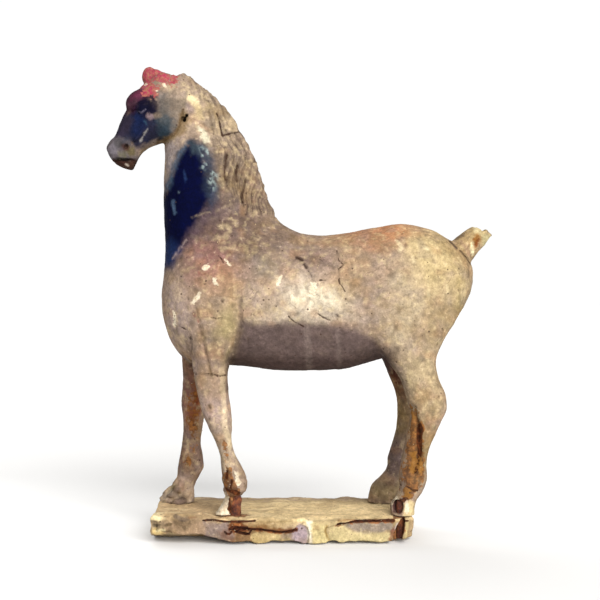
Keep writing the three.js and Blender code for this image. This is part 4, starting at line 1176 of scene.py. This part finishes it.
# ---------------------------------------------------------------- the plinth
# A hand-cut slab of the same earthenware, unpainted. Its left face has split along its layers, so a thin
# lip of the top overhangs paler broken clay, and its lower edge is chipped away along that face.
PLAN = [
    (-113.4, -48.6), (-108, -51.6), (-84, -52), (-30, -52.6), (40, -52.8), (92, -51.6), (107, -49),
    (113, -41), (113.5, 0), (114, 44), (108, 51), (40, 52.4), (-40, 53), (-110, 51), (-116, 44),
    (-115, 8), (-113, -34),
]
EDGE_ROUND = 3
FACE = -52.4  # Y of the left face
HEAP, RIM_RISE, CORNER_RISE, FRONT_WEAR = 2.2, 1.6, 3.4, 2.4  # mm that parts of the top rise or have worn
SPLITS = [  # X and Z of each split along the left face, its half height and its depth
    ([(-68, 21.2), (-56, 21.2), (-48, 20), (-36, 19.8), (-23.5, 20.8)], 0.55, 5),
    ([(-45, 13.8), (-36, 13.8), (-17.5, 13.2), (-2, 10.8), (5, 11.6), (11.6, 12.8)], 0.9, 7),
    ([(-44, 15.6), (-30, 15.2)], 0.4, 3),
    ([(-39.8, 11.8), (-32, 9.6), (-28.6, 9.8), (-27, 12)], 0.8, 4),
    ([(-49.4, 11.6), (-48.4, 9.8), (-45.6, 9.4), (-43.6, 11.4)], 0.6, 2.5),
    ([(47, 17.4), (49.4, 18.6), (53.5, 18.4), (59.5, 19.8)], 0.7, 5),
    ([(58.5, 19.6), (66.3, 20.4), (95, 20.6)], 1.15, 6),
    ([(104, 20.4), (112, 20)], 0.6, 5),
]
RECESSES = [  # X and Z outlines of faces that have fallen away, with their depth
    ([(38, 14.6), (46, 17), (59, 19.6), (96, 19.8), (96, -5), (40, -5)], 2.6),
    ([(-27, 12.6), (-17, 12.6), (-3, 10), (9, 11), (9.5, -5), (-30, -5)], 2.4),
    ([(-116, 12), (-96, 13), (-92, 6), (-116, 4)], 2.4),
    ([(14.5, 18.4), (21, 15.4), (22.8, 9), (20.4, -5), (12.6, -5), (8, 6), (9.6, 13)], 1.4),
]
CHIPS = [  # centre and radii of pieces knocked from the edges and of the pits in the left end
    ((-97.5, -54, 17.4), (4.6, 3.6, 2.3)), ((-109.5, -54, 15.6), (3.2, 3.4, 2.2)),
    ((-103.6, -54.6, 12.4), (3, 3.2, 1.7)), ((-89, -54.4, 19.4), (5.4, 3.2, 2.4)),
    ((-81, -54.4, 20.6), (4, 3, 2)), ((-109, -54, 9), (3.4, 3.8, 1.6)), ((-113, -53, 26), (8, 6, 5)),
    ((-58, -54, 18), (4, 3, 2.2)), ((38, -55.2, 10), (1.6, 4.4, 7)), ((43.6, -54.5, 1), (3.4, 5, 4)),
    ((115, -43, 3), (8.4, 9, 9)), ((115, 30, 24), (7, 9, 4)), ((60, 55, 24), (12, 4, 4)),
    ((-60, 55, 3), (14, 4.5, 5)),
]
UNDERCUT_FROM, UNDERCUT_REACH = -62, 52  # the Y from which the broken lower edge slopes back, and how far
BREAK_AT = [-70, -45, -40, -30, -21, -8, 8, 18, 28, 37, 42, 46, 52, 60, 96, 124]  # X along the left face
BREAK_HEIGHT = [12, 3.8, 3.2, 4.6, 1.6, 4.2, 4.4, 1.6, 1.6, 2, 4.6, 4.6, 2.4, 3.4, 4, 13]
SLOT_BACK = -39  # Y where the slot that bares the hind pin ends
SLOT_AT = [3, 7.6, 15.7, 21, 23.4]  # heights in mm, with the middle and half width of the slot at each
SLOT_MIDDLE, SLOT_HALF = [98, 98.9, 101.6, 103.2, 103.8], [4.2, 4.1, 4.1, 2.6, -1]
PLINTH_SPACING = 1.0
PLINTH_TRIANGLES = 120000


def slab_top(x, y):
    """Height in mm of the slab's uneven top."""
    top = GROUND - 0.6 + swells(x, y, 0 * x, (0.9, 30, 51), (0.5, 9, 52))
    from_hoof = np.hypot(x + 98, y - RIGHT)
    top += HEAP * np.exp(-((from_hoof / 24) ** 2)) * ease(from_hoof, 13, 18)
    top += RIM_RISE * ease(y, 44, 51) * (0.5 + 0.5 * grain(x, y, 0 * x, 12, 53))
    top += CORNER_RISE * ease(-x, 63, 72) * ease(-y, 20, 40) * (0.85 + 0.3 * grain(x, y, 0 * x, 6, 66))
    return top - FRONT_WEAR * ease(-y, 36, 52) * ease(grain(x, y, 0 * x, 13, 54), -0.3, 0.6)


def slab_clay(x, y, z):
    """Distance in mm from the plinth's skin."""
    side = swells(x, y, z, (0.8, 9, 55), (0.9, 22, 56)) - depth_in(x, y, PLAN)
    level = np.maximum(z - slab_top(x, y), -z)
    a, b = side + EDGE_ROUND, level + EDGE_ROUND
    clay = np.hypot(np.maximum(a, 0), np.maximum(b, 0)) + np.minimum(np.maximum(a, b), 0) - EDGE_ROUND
    clay = np.maximum(clay, -z)
    break_height = np.interp(x, BREAK_AT, BREAK_HEIGHT).astype(np.float32)
    inside = (y - UNDERCUT_FROM) / UNDERCUT_REACH
    under = z - (break_height * (1 - inside) - inside) - 0.9 * grain(x, y, z, 7, 57)
    clay = np.maximum(clay, -under)
    inward = y - FACE
    for path, half, depth in SPLITS:
        off = from_path(x + 1.2 * grain(x, y, z, 6, 58), z + 0.8 * grain(x, y, z, 5, 59), path) - half
        clay = carve(clay, np.maximum(off + 0.22 * inward, inward - depth), 0.6)
    for outline, depth in RECESSES:
        lost = -depth_in(x + 1.5 * grain(x, y, z, 8, 60), z + 0.8 * grain(x, y, z, 6, 61), outline)
        clay = carve(clay, np.maximum(lost, inward - depth - 0.8 * grain(x, y, z, 7, 62)), 0.8)
    for centre, radii in CHIPS:
        clay = carve(clay, lump(x, y, z, centre, radii), 1.2)
    return clay


def plinth_clay(x, y, z):
    """The slab with the slot below the left hind hoof and the bores of both pins."""
    clay = slab_clay(x, y, z)
    middle_x, half = (np.interp(z, SLOT_AT, row).astype(np.float32) for row in (SLOT_MIDDLE, SLOT_HALF))
    slot = np.maximum(np.abs(x - middle_x) - half - 0.6 * grain(x, y, z, 5, 63), y - SLOT_BACK)
    return bored(carve(clay, slot, 1.0), x, y, z)


def plinth_relief(x, y, z):
    """Height in mm of the slab's broken grain, and how much of it is hollow, 0 to 1."""
    broken = ease(-y, 46, 51) + ease(-z, -3, 0)
    end = ease(-x, 84, 96) * broken
    height = 0.4 * grain(x, y, z, 8, 71) + (0.2 + 0.25 * broken) * grain(x, y, z, 3, 72)
    height += end * swells(x, y, z, (1.6, 5.5, 64), (1, 2.8, 65))
    pits = np.maximum(pitting(x, y, z, 7, 0.3, 73), pitting(x, y, z, 3.4, 0.3, 74))
    height -= 0.5 * pits
    return height, np.clip(0.8 * pits + 0.3 * ease(-grain(x, y, z, 5, 75), 0.3, 0.8), 0, 1)


def plinth_layers(x, y, z):
    """Where iron has bled, where the splits are dark and where the back of the top turns darker and mauve.
    """
    face = ease(-y, 44, 50)
    split = np.zeros_like(x)
    for path, half, _ in SPLITS:
        split = np.maximum(split, ease(-from_path(x, z, path), -half - 0.9, -half * 0.4))
    wander = 2 * grain(x, y, z, 6, 76)
    bled = ease(-np.hypot((x + 41 + wander) / 0.9, (z - 17) / 1.1), -8, -4) * face
    trail = ease(-from_path(x + wander, z, SPLITS[1][0]), -3, -0.8) * face
    lip = ease(-from_path(x, z + 0.5, [*SPLITS[5][0], *SPLITS[6][0]]), -3, -0.6) * face
    slot = ease(-np.abs(x - 100.6 + wander * 0.2), -6, -4.6) * ease(-y, 36, 39) * ease(y, -50, -47)
    spill = np.hypot((x + 41 + wander) / 1.3, y - LEFT + wander)
    foot = ease(-spill, -15, -7) * ease(z, 18, 21)
    rust = np.maximum.reduce([0.8 * bled, 0.85 * trail, 0.75 * lip, slot, 0.75 * foot])
    return {
        "rust": np.clip(rust, 0, 1),
        "split": split * face,
        "mauve": 0.6 * ease(y, 20, 50) * ease(z, 18, 22),
        "hollow": plinth_relief(x, y, z)[1],
    }


SLAB, TOP_CREAM_AND_PAINTED_LIGHT, TOP_TAN, CORNER_PAINTED_HIGHLIGHT = "927b5b", "c9b082", "a98d6a", "dccb9f"
BACK_SHADE, WORN_STREAK, SOIL_STREAK = "7d6a4c", "d2bc92", "917c5c"
SLAB_STAINS = [
    (30, 22, 60, 12, "ac986e", 0.9), (-100, 22, 22, 10, "967f5f", 0.85), (-30, 22, 26, 8, "927955", 0.7),
    (96, 20, 16, 14, "8a7350", 0.8), (50, 3, 40, 8, "9a8b60", 0.8), (10, 6, 18, 8, "857468", 0.6),
    (-104, 8, 16, 12, "84755c", 0.7), (-36, 15, 16, 8, "7d5e3c", 0.6), (20, 23, 60, 3, "bba57b", 0.6),
    (-34, 6, 32, 12, "674c32", 0.9), (70, 12, 34, 6, "81705a", 0.5),
]
FACE_PATCHES = [  # as on the horse, but only on the slab's left face
    ([(-104, 21), (-62, 22), (-50, 17), (-48, 2), (-70, 4), (-104, 8)], 4, "87705f", 0.75, 1.3),
    ([(-68, 20.6), (-46, 19), (-42, 8), (-46, 3), (-64, 5)], 2, "6f6059", 0.9, 0.9),
    ([(-96, 21.4), (-84, 22.4), (-76, 19.6), (-84, 13), (-94, 14)], 2, "453933", 0.85, 1.6),
    ([(-103, 15), (-92, 16), (-88, 10), (-98, 8)], 1.8, "5a4b3a", 0.75, 1.6),
    # painted highlight on the upper edge of the knocked left corner
    ([(-116, 27), (-104, 27), (-100, 22), (-107, 19.4), (-116, 20.6)], 1.6, "cbb88c", 0.85, 1.2),
    ([(-114, 14), (-104, 15), (-101, 9), (-112, 5)], 1.6, "ab935f", 0.8, 1.6),
    ([(-114, 20), (-104, 19.2), (-98, 19), (-100, 15.6), (-113, 16)], 1.2, "4d4030", 0.85, 1.4),
    ([(-98, 8), (-88, 9), (-80, 5), (-96, 3)], 1.5, "93805f", 0.7, 1.4),
    ([(-26, 11), (-17, 11.4), (-4, 9), (0, 6.6), (-8, 1), (-21, -2), (-28, 5.6)],
      1.3, "a8946a", 0.9, 1.4),
    ([(0, 10.6), (10, 11.4), (9.4, 1), (1, 1)], 1.8, "70614f", 0.8, 0.9),
    ([(14.5, 18.2), (20.8, 15.2), (22.7, 9), (20.4, 0), (12.6, 0), (8, 6), (9.6, 13)],
      1.6, "85767a", 0.92, 1),
    ([(-45, 17), (-24, 15.6), (-4, 14.6), (8, 13.6), (6, 11), (-4, 10), (-20, 12), (-46, 12)],
      1.6, "5e3617", 0.85, 1.6),
    ([(-56, 13), (-46, 13), (-42, 3), (-50, 2)], 2, "5a3d2c", 0.7, 1.4),
    ([(-26, 6), (-12, 4), (6, 5), (4, 1), (-24, -2)], 1.6, "9a8458", 0.6, 1.6),
    ([(20.6, 20.6), (26, 20.4), (24.4, 12), (26.4, 0), (21.6, 0), (22.8, 9), (20.8, 15)],
      1, "d2c9b4", 0.85, 1),
    ([(25, 19.4), (37.4, 18), (36.6, 12), (39.6, 0), (25.6, 0)], 1.5, "b7a777", 0.85, 0.9),
    ([(26.6, 18), (32, 18), (31.6, 13.4), (27, 13.4)], 1.5, "8f7250", 0.6, 1),
    ([(40, 14.6), (52, 16.6), (60, 11), (92, 10.4), (96, 0), (42, 0)], 1.8, "aa9a70", 0.9, 1.2),
    ([(52, 18), (62, 19.2), (95, 19.4), (95, 12.4), (78, 10.4), (66, 11), (58, 13.4)],
      2, "74685e", 0.88, 1.2),
    ([(105, 19.4), (114, 19.4), (113, 0), (105, 0)], 1.5, "aa9a6c", 0.8, 0.9),
    ([(92.6, 12), (97, 17), (97.6, 0), (91.6, 0)], 1, "5c2c13", 0.8, 1),
    ([(96.4, 19.4), (101, 20), (100, 15.6), (96.6, 11)], 1, "b9aaa0", 0.7, 0.9),
]
FACE_STROKES = [
    ([(38, 16.6), (36.4, 12), (39.8, 3)], 0.7, "79602f", 0.85),
    ([(-41, 22), (-41, 13)], 0.5, "b8855a", 0.6),
    ([(-36.6, 21), (-34.4, 16.4)], 1.6, "54290f", 0.75),
    ([(-24, 20.8), (-10, 19.6), (8, 20.6)], 0.4, "8b744e", 0.6),
    ([(-110.6, 16.6), (-108.4, 16)], 1.3, "352d22", 0.85),
    ([(-99.4, 17), (-95.8, 17.4)], 1.1, "352d22", 0.85),
    ([(-108.4, 11.8), (-101, 12.8)], 1.0, "d6c79a", 0.75),
    ([(-100, 8), (-94, 9.6)], 0.8, "c9b98c", 0.6),
    ([(-114, 20.4), (-105.6, 19.8)], 0.7, "4f4130", 0.75),
    ([(-91.6, 24.4), (-86, 22), (-81.6, 22.6)], 2.0, "4a4244", 0.7),
    ([(-80, 23.4), (-74, 24)], 0.9, "6b4a38", 0.7),
    # painted highlight along the top edge at the left end
    ([(-112, 24), (-105, 23.4)], 1.4, "e2d2a6", 0.8),
    ([(-66, 8), (-63, 6)], 1.2, "5b4a48", 0.7),
    ([(67, 13.6), (67, 4)], 0.6, "c2b183", 0.6),
    ([(48, 20.6), (58, 21.8), (66, 22.6), (95, 22.8)], 1.1, "7d5a34", 0.7),
]


def plinth_tint(x, y, z):
    """The soft colour of the soiled slab at each place, with painted light and shade on its top."""
    tint = plain(SLAB, x)
    shift_x = 5 * grain(x, y, z, 14, 77)
    tint = clouded(tint, x + shift_x, z + 3 * grain(x, y, z, 8, 78), SLAB_STAINS)
    top = ease(z, GROUND - 3.5, GROUND - 1) * (1 - ease(-x, 64, 70) * ease(-y, 49, 51))
    # painted light makes the cream top paler than the sides; BACK_SHADE is painted shade over the back of
    # the top
    tint = blended(tint, TOP_CREAM_AND_PAINTED_LIGHT, 0.85 * top)
    tint = blended(tint, TOP_TAN, 0.8 * top * ease(-x + shift_x, 36, 60))
    tint = blended(tint, BACK_SHADE, 0.7 * top * ease(y + shift_x, 6, 48))
    # painted highlight on the raised left front corner of the top
    tint = blended(tint, CORNER_PAINTED_HIGHLIGHT, 0.8 * top * ease(-x + 0.6 * shift_x, 100, 108) * ease(-y, 28, 42))
    streak = grain(0.22 * x, y, z, 5, 79) + 0.5 * grain(0.5 * x, y, z, 2.6, 80)
    tint = blended(tint, WORN_STREAK, 0.5 * top * ease(streak, 0.1, 0.8))
    tint = blended(tint, SOIL_STREAK, 0.45 * top * ease(-streak, 0.1, 0.8))
    fine = grain(x, y, z, 2.4, 83)
    ragged = 1.2 * grain(x, y, z, 6, 84) + 1.2 * fine
    face = ease(-y, 46, 50)
    tint, _ = patched(tint, x, z, FACE_PATCHES, ragged, face)
    tint = laid_strokes(tint, x, z, FACE_STROKES, 0.7 * ragged, face)
    return tint, np.ones_like(x)


# Bare low-fired clay, chalky and granular where it is broken: cream on top, darker and mauve towards the
# back of the top, with brown iron stains in its splits.
CLAY_STAINS = {
    "mauve": (None, None, "6b5a56", "82705c", 0.7, 0.6),
    "rust": (None, None, "4a230e", "764522", 1.0, 0.85),
    "split": (None, None, "25100a", "42200f", 0.4, 0.95),
}
bare = earthen(
    "bare_earthenware", CLAY_STAINS, 0.75, 0.1,
    relief={"Strength": 0.8, "Distance": 0.0012}, gloss={"Roughness": 0.95, "Specular IOR Level": 0.15},
)
plinth = fired_piece("chipped_plinth", plinth_clay, plinth_relief, box_in_mm("plinth"),
                     PLINTH_SPACING, PLINTH_TRIANGLES, (0.2, 2), bare)
write_layers(plinth, plinth_layers(*places_of(plinth)))
write_tint(plinth, *plinth_tint(*places_of(plinth)))
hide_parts("plinth")
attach(plinth, "root")

# ---------------------------------------------------------------- the iron pins
# Two iron rods that the potter set through the left legs into the slab. They have rusted and swollen to a
# flaking crust, which has burst the clay round them.
RUST_DARK, RUST_MID, RUST_BRIGHT = "280e06", "5a2810", "824820"
FLAKES, BLOOMS = 420, 160  # flakes of crust and patches of bright rust in a metre
crust, tree = new_material("iron_rust_crust")
place = add(tree, "ShaderNodeTexCoord", take="Object")
sockets = {"Vector": place, "Scale": FLAKES, "Detail": 6, "Roughness": 0.7}
flake = add(tree, "ShaderNodeTexNoise", sockets, take=0)
bloom = add(tree, "ShaderNodeTexNoise", {"Vector": place, "Scale": BLOOMS, "Detail": 4}, take=0)
share = add(tree, "ShaderNodeMapRange", {"Value": flake, "From Min": 0.36, "From Max": 0.6})
base = add(tree, "ShaderNodeMix", {0: share, 6: colour(RUST_DARK), 7: colour(RUST_MID)}, data_type="RGBA")
share = add(tree, "ShaderNodeMapRange", {"Value": bloom, "From Min": 0.5, "From Max": 0.66, "To Max": 0.85})
base = add(tree, "ShaderNodeMix", {0: share, 6: base, 7: colour(RUST_BRIGHT)}, data_type="RGBA")
bump = add(tree, "ShaderNodeBump", {"Strength": 0.9, "Distance": 0.0008, "Height": flake})
surface = add(tree, "ShaderNodeBsdfPrincipled", {"Base Color": base, "Roughness": 0.85, "Normal": bump})
add(tree, "ShaderNodeOutputMaterial", {"Surface": surface})

PIN_SIDES, PIN_RINGS = 56, 70
BURIED_FROM = 42  # the height in mm at which the fore pin enters the leg
for node in ("fore_pin", "hind_pin"):
    low, high, centre, radius = rod(node)
    turn, rise = np.meshgrid(
        np.arange(PIN_SIDES) * 2 * np.pi / PIN_SIDES,
        np.linspace(low[2] + 0.2, high[2] - 0.2, PIN_RINGS),
    )
    x, y = centre[0] + radius * np.cos(turn), centre[1] + radius * np.sin(turn)
    swell = radius * (0.97 + 0.05 * grain(x, y, rise, 5, 81)) - 0.5 * pitting(x, y, rise, 3, 0.6, 82)
    if node == "fore_pin":
        bare_part = ease(rise, GROUND - 0.5, GROUND + 2) * ease(-rise, -BURIED_FROM, 3 - BURIED_FROM)
        swell += bare_part * (0.5 + 1.1 * grain(x, y, rise, 4.5, 85) + 0.6 * grain(x, y, rise, 2.4, 86))
    skin = np.stack([centre[0] + swell * np.cos(turn), centre[1] + swell * np.sin(turn), rise], -1)
    tips = [[centre[0], centre[1], low[2]], [centre[0], centre[1], high[2]]]
    vertices = np.concatenate([skin.reshape(-1, 3), tips]) / 1000
    faces = []
    foot, head = PIN_SIDES * PIN_RINGS, PIN_SIDES * PIN_RINGS + 1
    for j in range(PIN_SIDES):
        k = (j + 1) % PIN_SIDES
        faces.append((foot, k, j))
        faces.append((head, foot - PIN_SIDES + j, foot - PIN_SIDES + k))
        for i in range(0, foot - PIN_SIDES, PIN_SIDES):
            faces.append((i + j, i + k, i + PIN_SIDES + k, i + PIN_SIDES + j))
    pin = new_object(f"rusted_{node}", vertices, faces, crust)
    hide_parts(node)
    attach(pin, "root")

# ---------------------------------------------------------------- the loose grit
# Crumbs of slip and burial soil, about a millimetre across, that still cling to the bare clay of the horse
# and the slab. Nothing holds them but the slip itself, and they keep off the painted parts.
GRIT_SIZE = 0.00075  # a crumb's largest radius in metres
GRIT_LEAST, GRIT_FLAT = 0.35, 0.45  # the smallest crumb's share of it, and a crumb's thickness to its width
GRIT_BEDS = {  # each piece, its crumbs on a square metre, the seed of their scatter and its slot
    "horse": (horse, 4200, 3, "painted_clay"),
    "plinth": (plinth, 9000, 5, "bare_clay"),
}
BARE_ENOUGH = 0.6
GRIT_PALE, GRIT_TAN, GRIT_SOIL = "9a8868", "7c6a54", "3a2c24"
TONE_SIZE = 3.5  # mm over which the crumbs share a tone

# Grit is dull and dusty: each crumb is one tone of pale slip, tan clay or dark soil.
soil, tree = new_material("crumbled_slip_and_soil")
place = add(tree, "ShaderNodeTexCoord", take="Object")
tone = add(tree, "ShaderNodeTexNoise", {"Vector": place, "Scale": 1000 / TONE_SIZE, "Detail": 1}, take=0)
share = add(tree, "ShaderNodeMapRange", {"Value": tone, "From Min": 0.44, "From Max": 0.56})
base = add(tree, "ShaderNodeMix", {0: share, 6: colour(GRIT_TAN), 7: colour(GRIT_PALE)}, data_type="RGBA")
share = add(tree, "ShaderNodeMapRange", {"Value": tone, "From Min": 0.42, "From Max": 0.34})
base = add(tree, "ShaderNodeMix", {0: share, 6: base, 7: colour(GRIT_SOIL)}, data_type="RGBA")
sockets = {"Base Color": base, "Roughness": 0.95, "Specular IOR Level": 0.1}
surface = add(tree, "ShaderNodeBsdfPrincipled", sockets)
add(tree, "ShaderNodeOutputMaterial", {"Surface": surface})

scatter = bpy.data.node_groups.new("clinging_grit", "GeometryNodeTree")
INLETS = {
    "Geometry": "NodeSocketGeometry",
    "Crumbs per square metre": "NodeSocketFloat",
    "Largest radius": "NodeSocketFloat",
    "Seed": "NodeSocketInt",
    "Finish": "NodeSocketMaterial",
}
for name, kind in INLETS.items():
    scatter.interface.new_socket(name, in_out="INPUT", socket_type=kind)
scatter.interface.new_socket("Geometry", in_out="OUTPUT", socket_type="NodeSocketGeometry")
given = {name: add(scatter, "NodeGroupInput", take=name) for name in INLETS}
sockets = {"Name": "tint"}
tint = add(scatter, "GeometryNodeInputNamedAttribute", sockets, take="Attribute", data_type="FLOAT_COLOR")
bareness = add(scatter, "FunctionNodeSeparateColor", {0: tint}, take="Alpha")
bed = add(scatter, "FunctionNodeCompare", {0: bareness, 1: BARE_ENOUGH}, operation="GREATER_THAN")
sockets = {"Mesh": given["Geometry"], "Selection": bed, "Seed": given["Seed"]}
sockets["Density"] = given["Crumbs per square metre"]
points = add(scatter, "GeometryNodeDistributePointsOnFaces", sockets, take="Points")
lie = points.node.outputs["Rotation"]
sockets = {0: (GRIT_LEAST, GRIT_LEAST, GRIT_LEAST * GRIT_FLAT), 1: (1.0, 1.0, GRIT_FLAT)}
sockets["Seed"] = given["Seed"]
spread = add(scatter, "FunctionNodeRandomValue", sockets, take=0, data_type="FLOAT_VECTOR")
sockets = {0: spread, "Scale": given["Largest radius"]}
size = add(scatter, "ShaderNodeVectorMath", sockets, operation="SCALE")
crumb = add(scatter, "GeometryNodeMeshIcoSphere", {"Radius": 1.0, "Subdivisions": 1}, take="Mesh")
sockets = {"Points": points, "Instance": crumb, "Rotation": lie, "Scale": size}
crumbs = add(scatter, "GeometryNodeInstanceOnPoints", sockets)
crumbs = add(scatter, "GeometryNodeRealizeInstances", {"Geometry": crumbs})
crumbs = add(scatter, "GeometryNodeSetMaterial", {"Geometry": crumbs, "Material": given["Finish"]})
add(scatter, "NodeGroupOutput", {"Geometry": crumbs})
named = {item.name: item.identifier for item in scatter.interface.items_tree if item.in_out == "INPUT"}

for name, (bed, number, seed, slot) in GRIT_BEDS.items():
    modifier = bed.modifiers.new("grit", "NODES")
    modifier.node_group = scatter
    modifier[named["Crumbs per square metre"]] = float(number)
    modifier[named["Largest radius"]] = GRIT_SIZE
    modifier[named["Seed"]] = seed
    modifier[named["Finish"]] = soil
    crumbs = bpy.data.meshes.new_from_object(bed.evaluated_get(bpy.context.evaluated_depsgraph_get()))
    bed.modifiers.remove(modifier)
    grit = bpy.data.objects.new(f"grit_on_{name}", crumbs)
    bpy.context.scene.collection.objects.link(grit)
    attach(grit, "root")
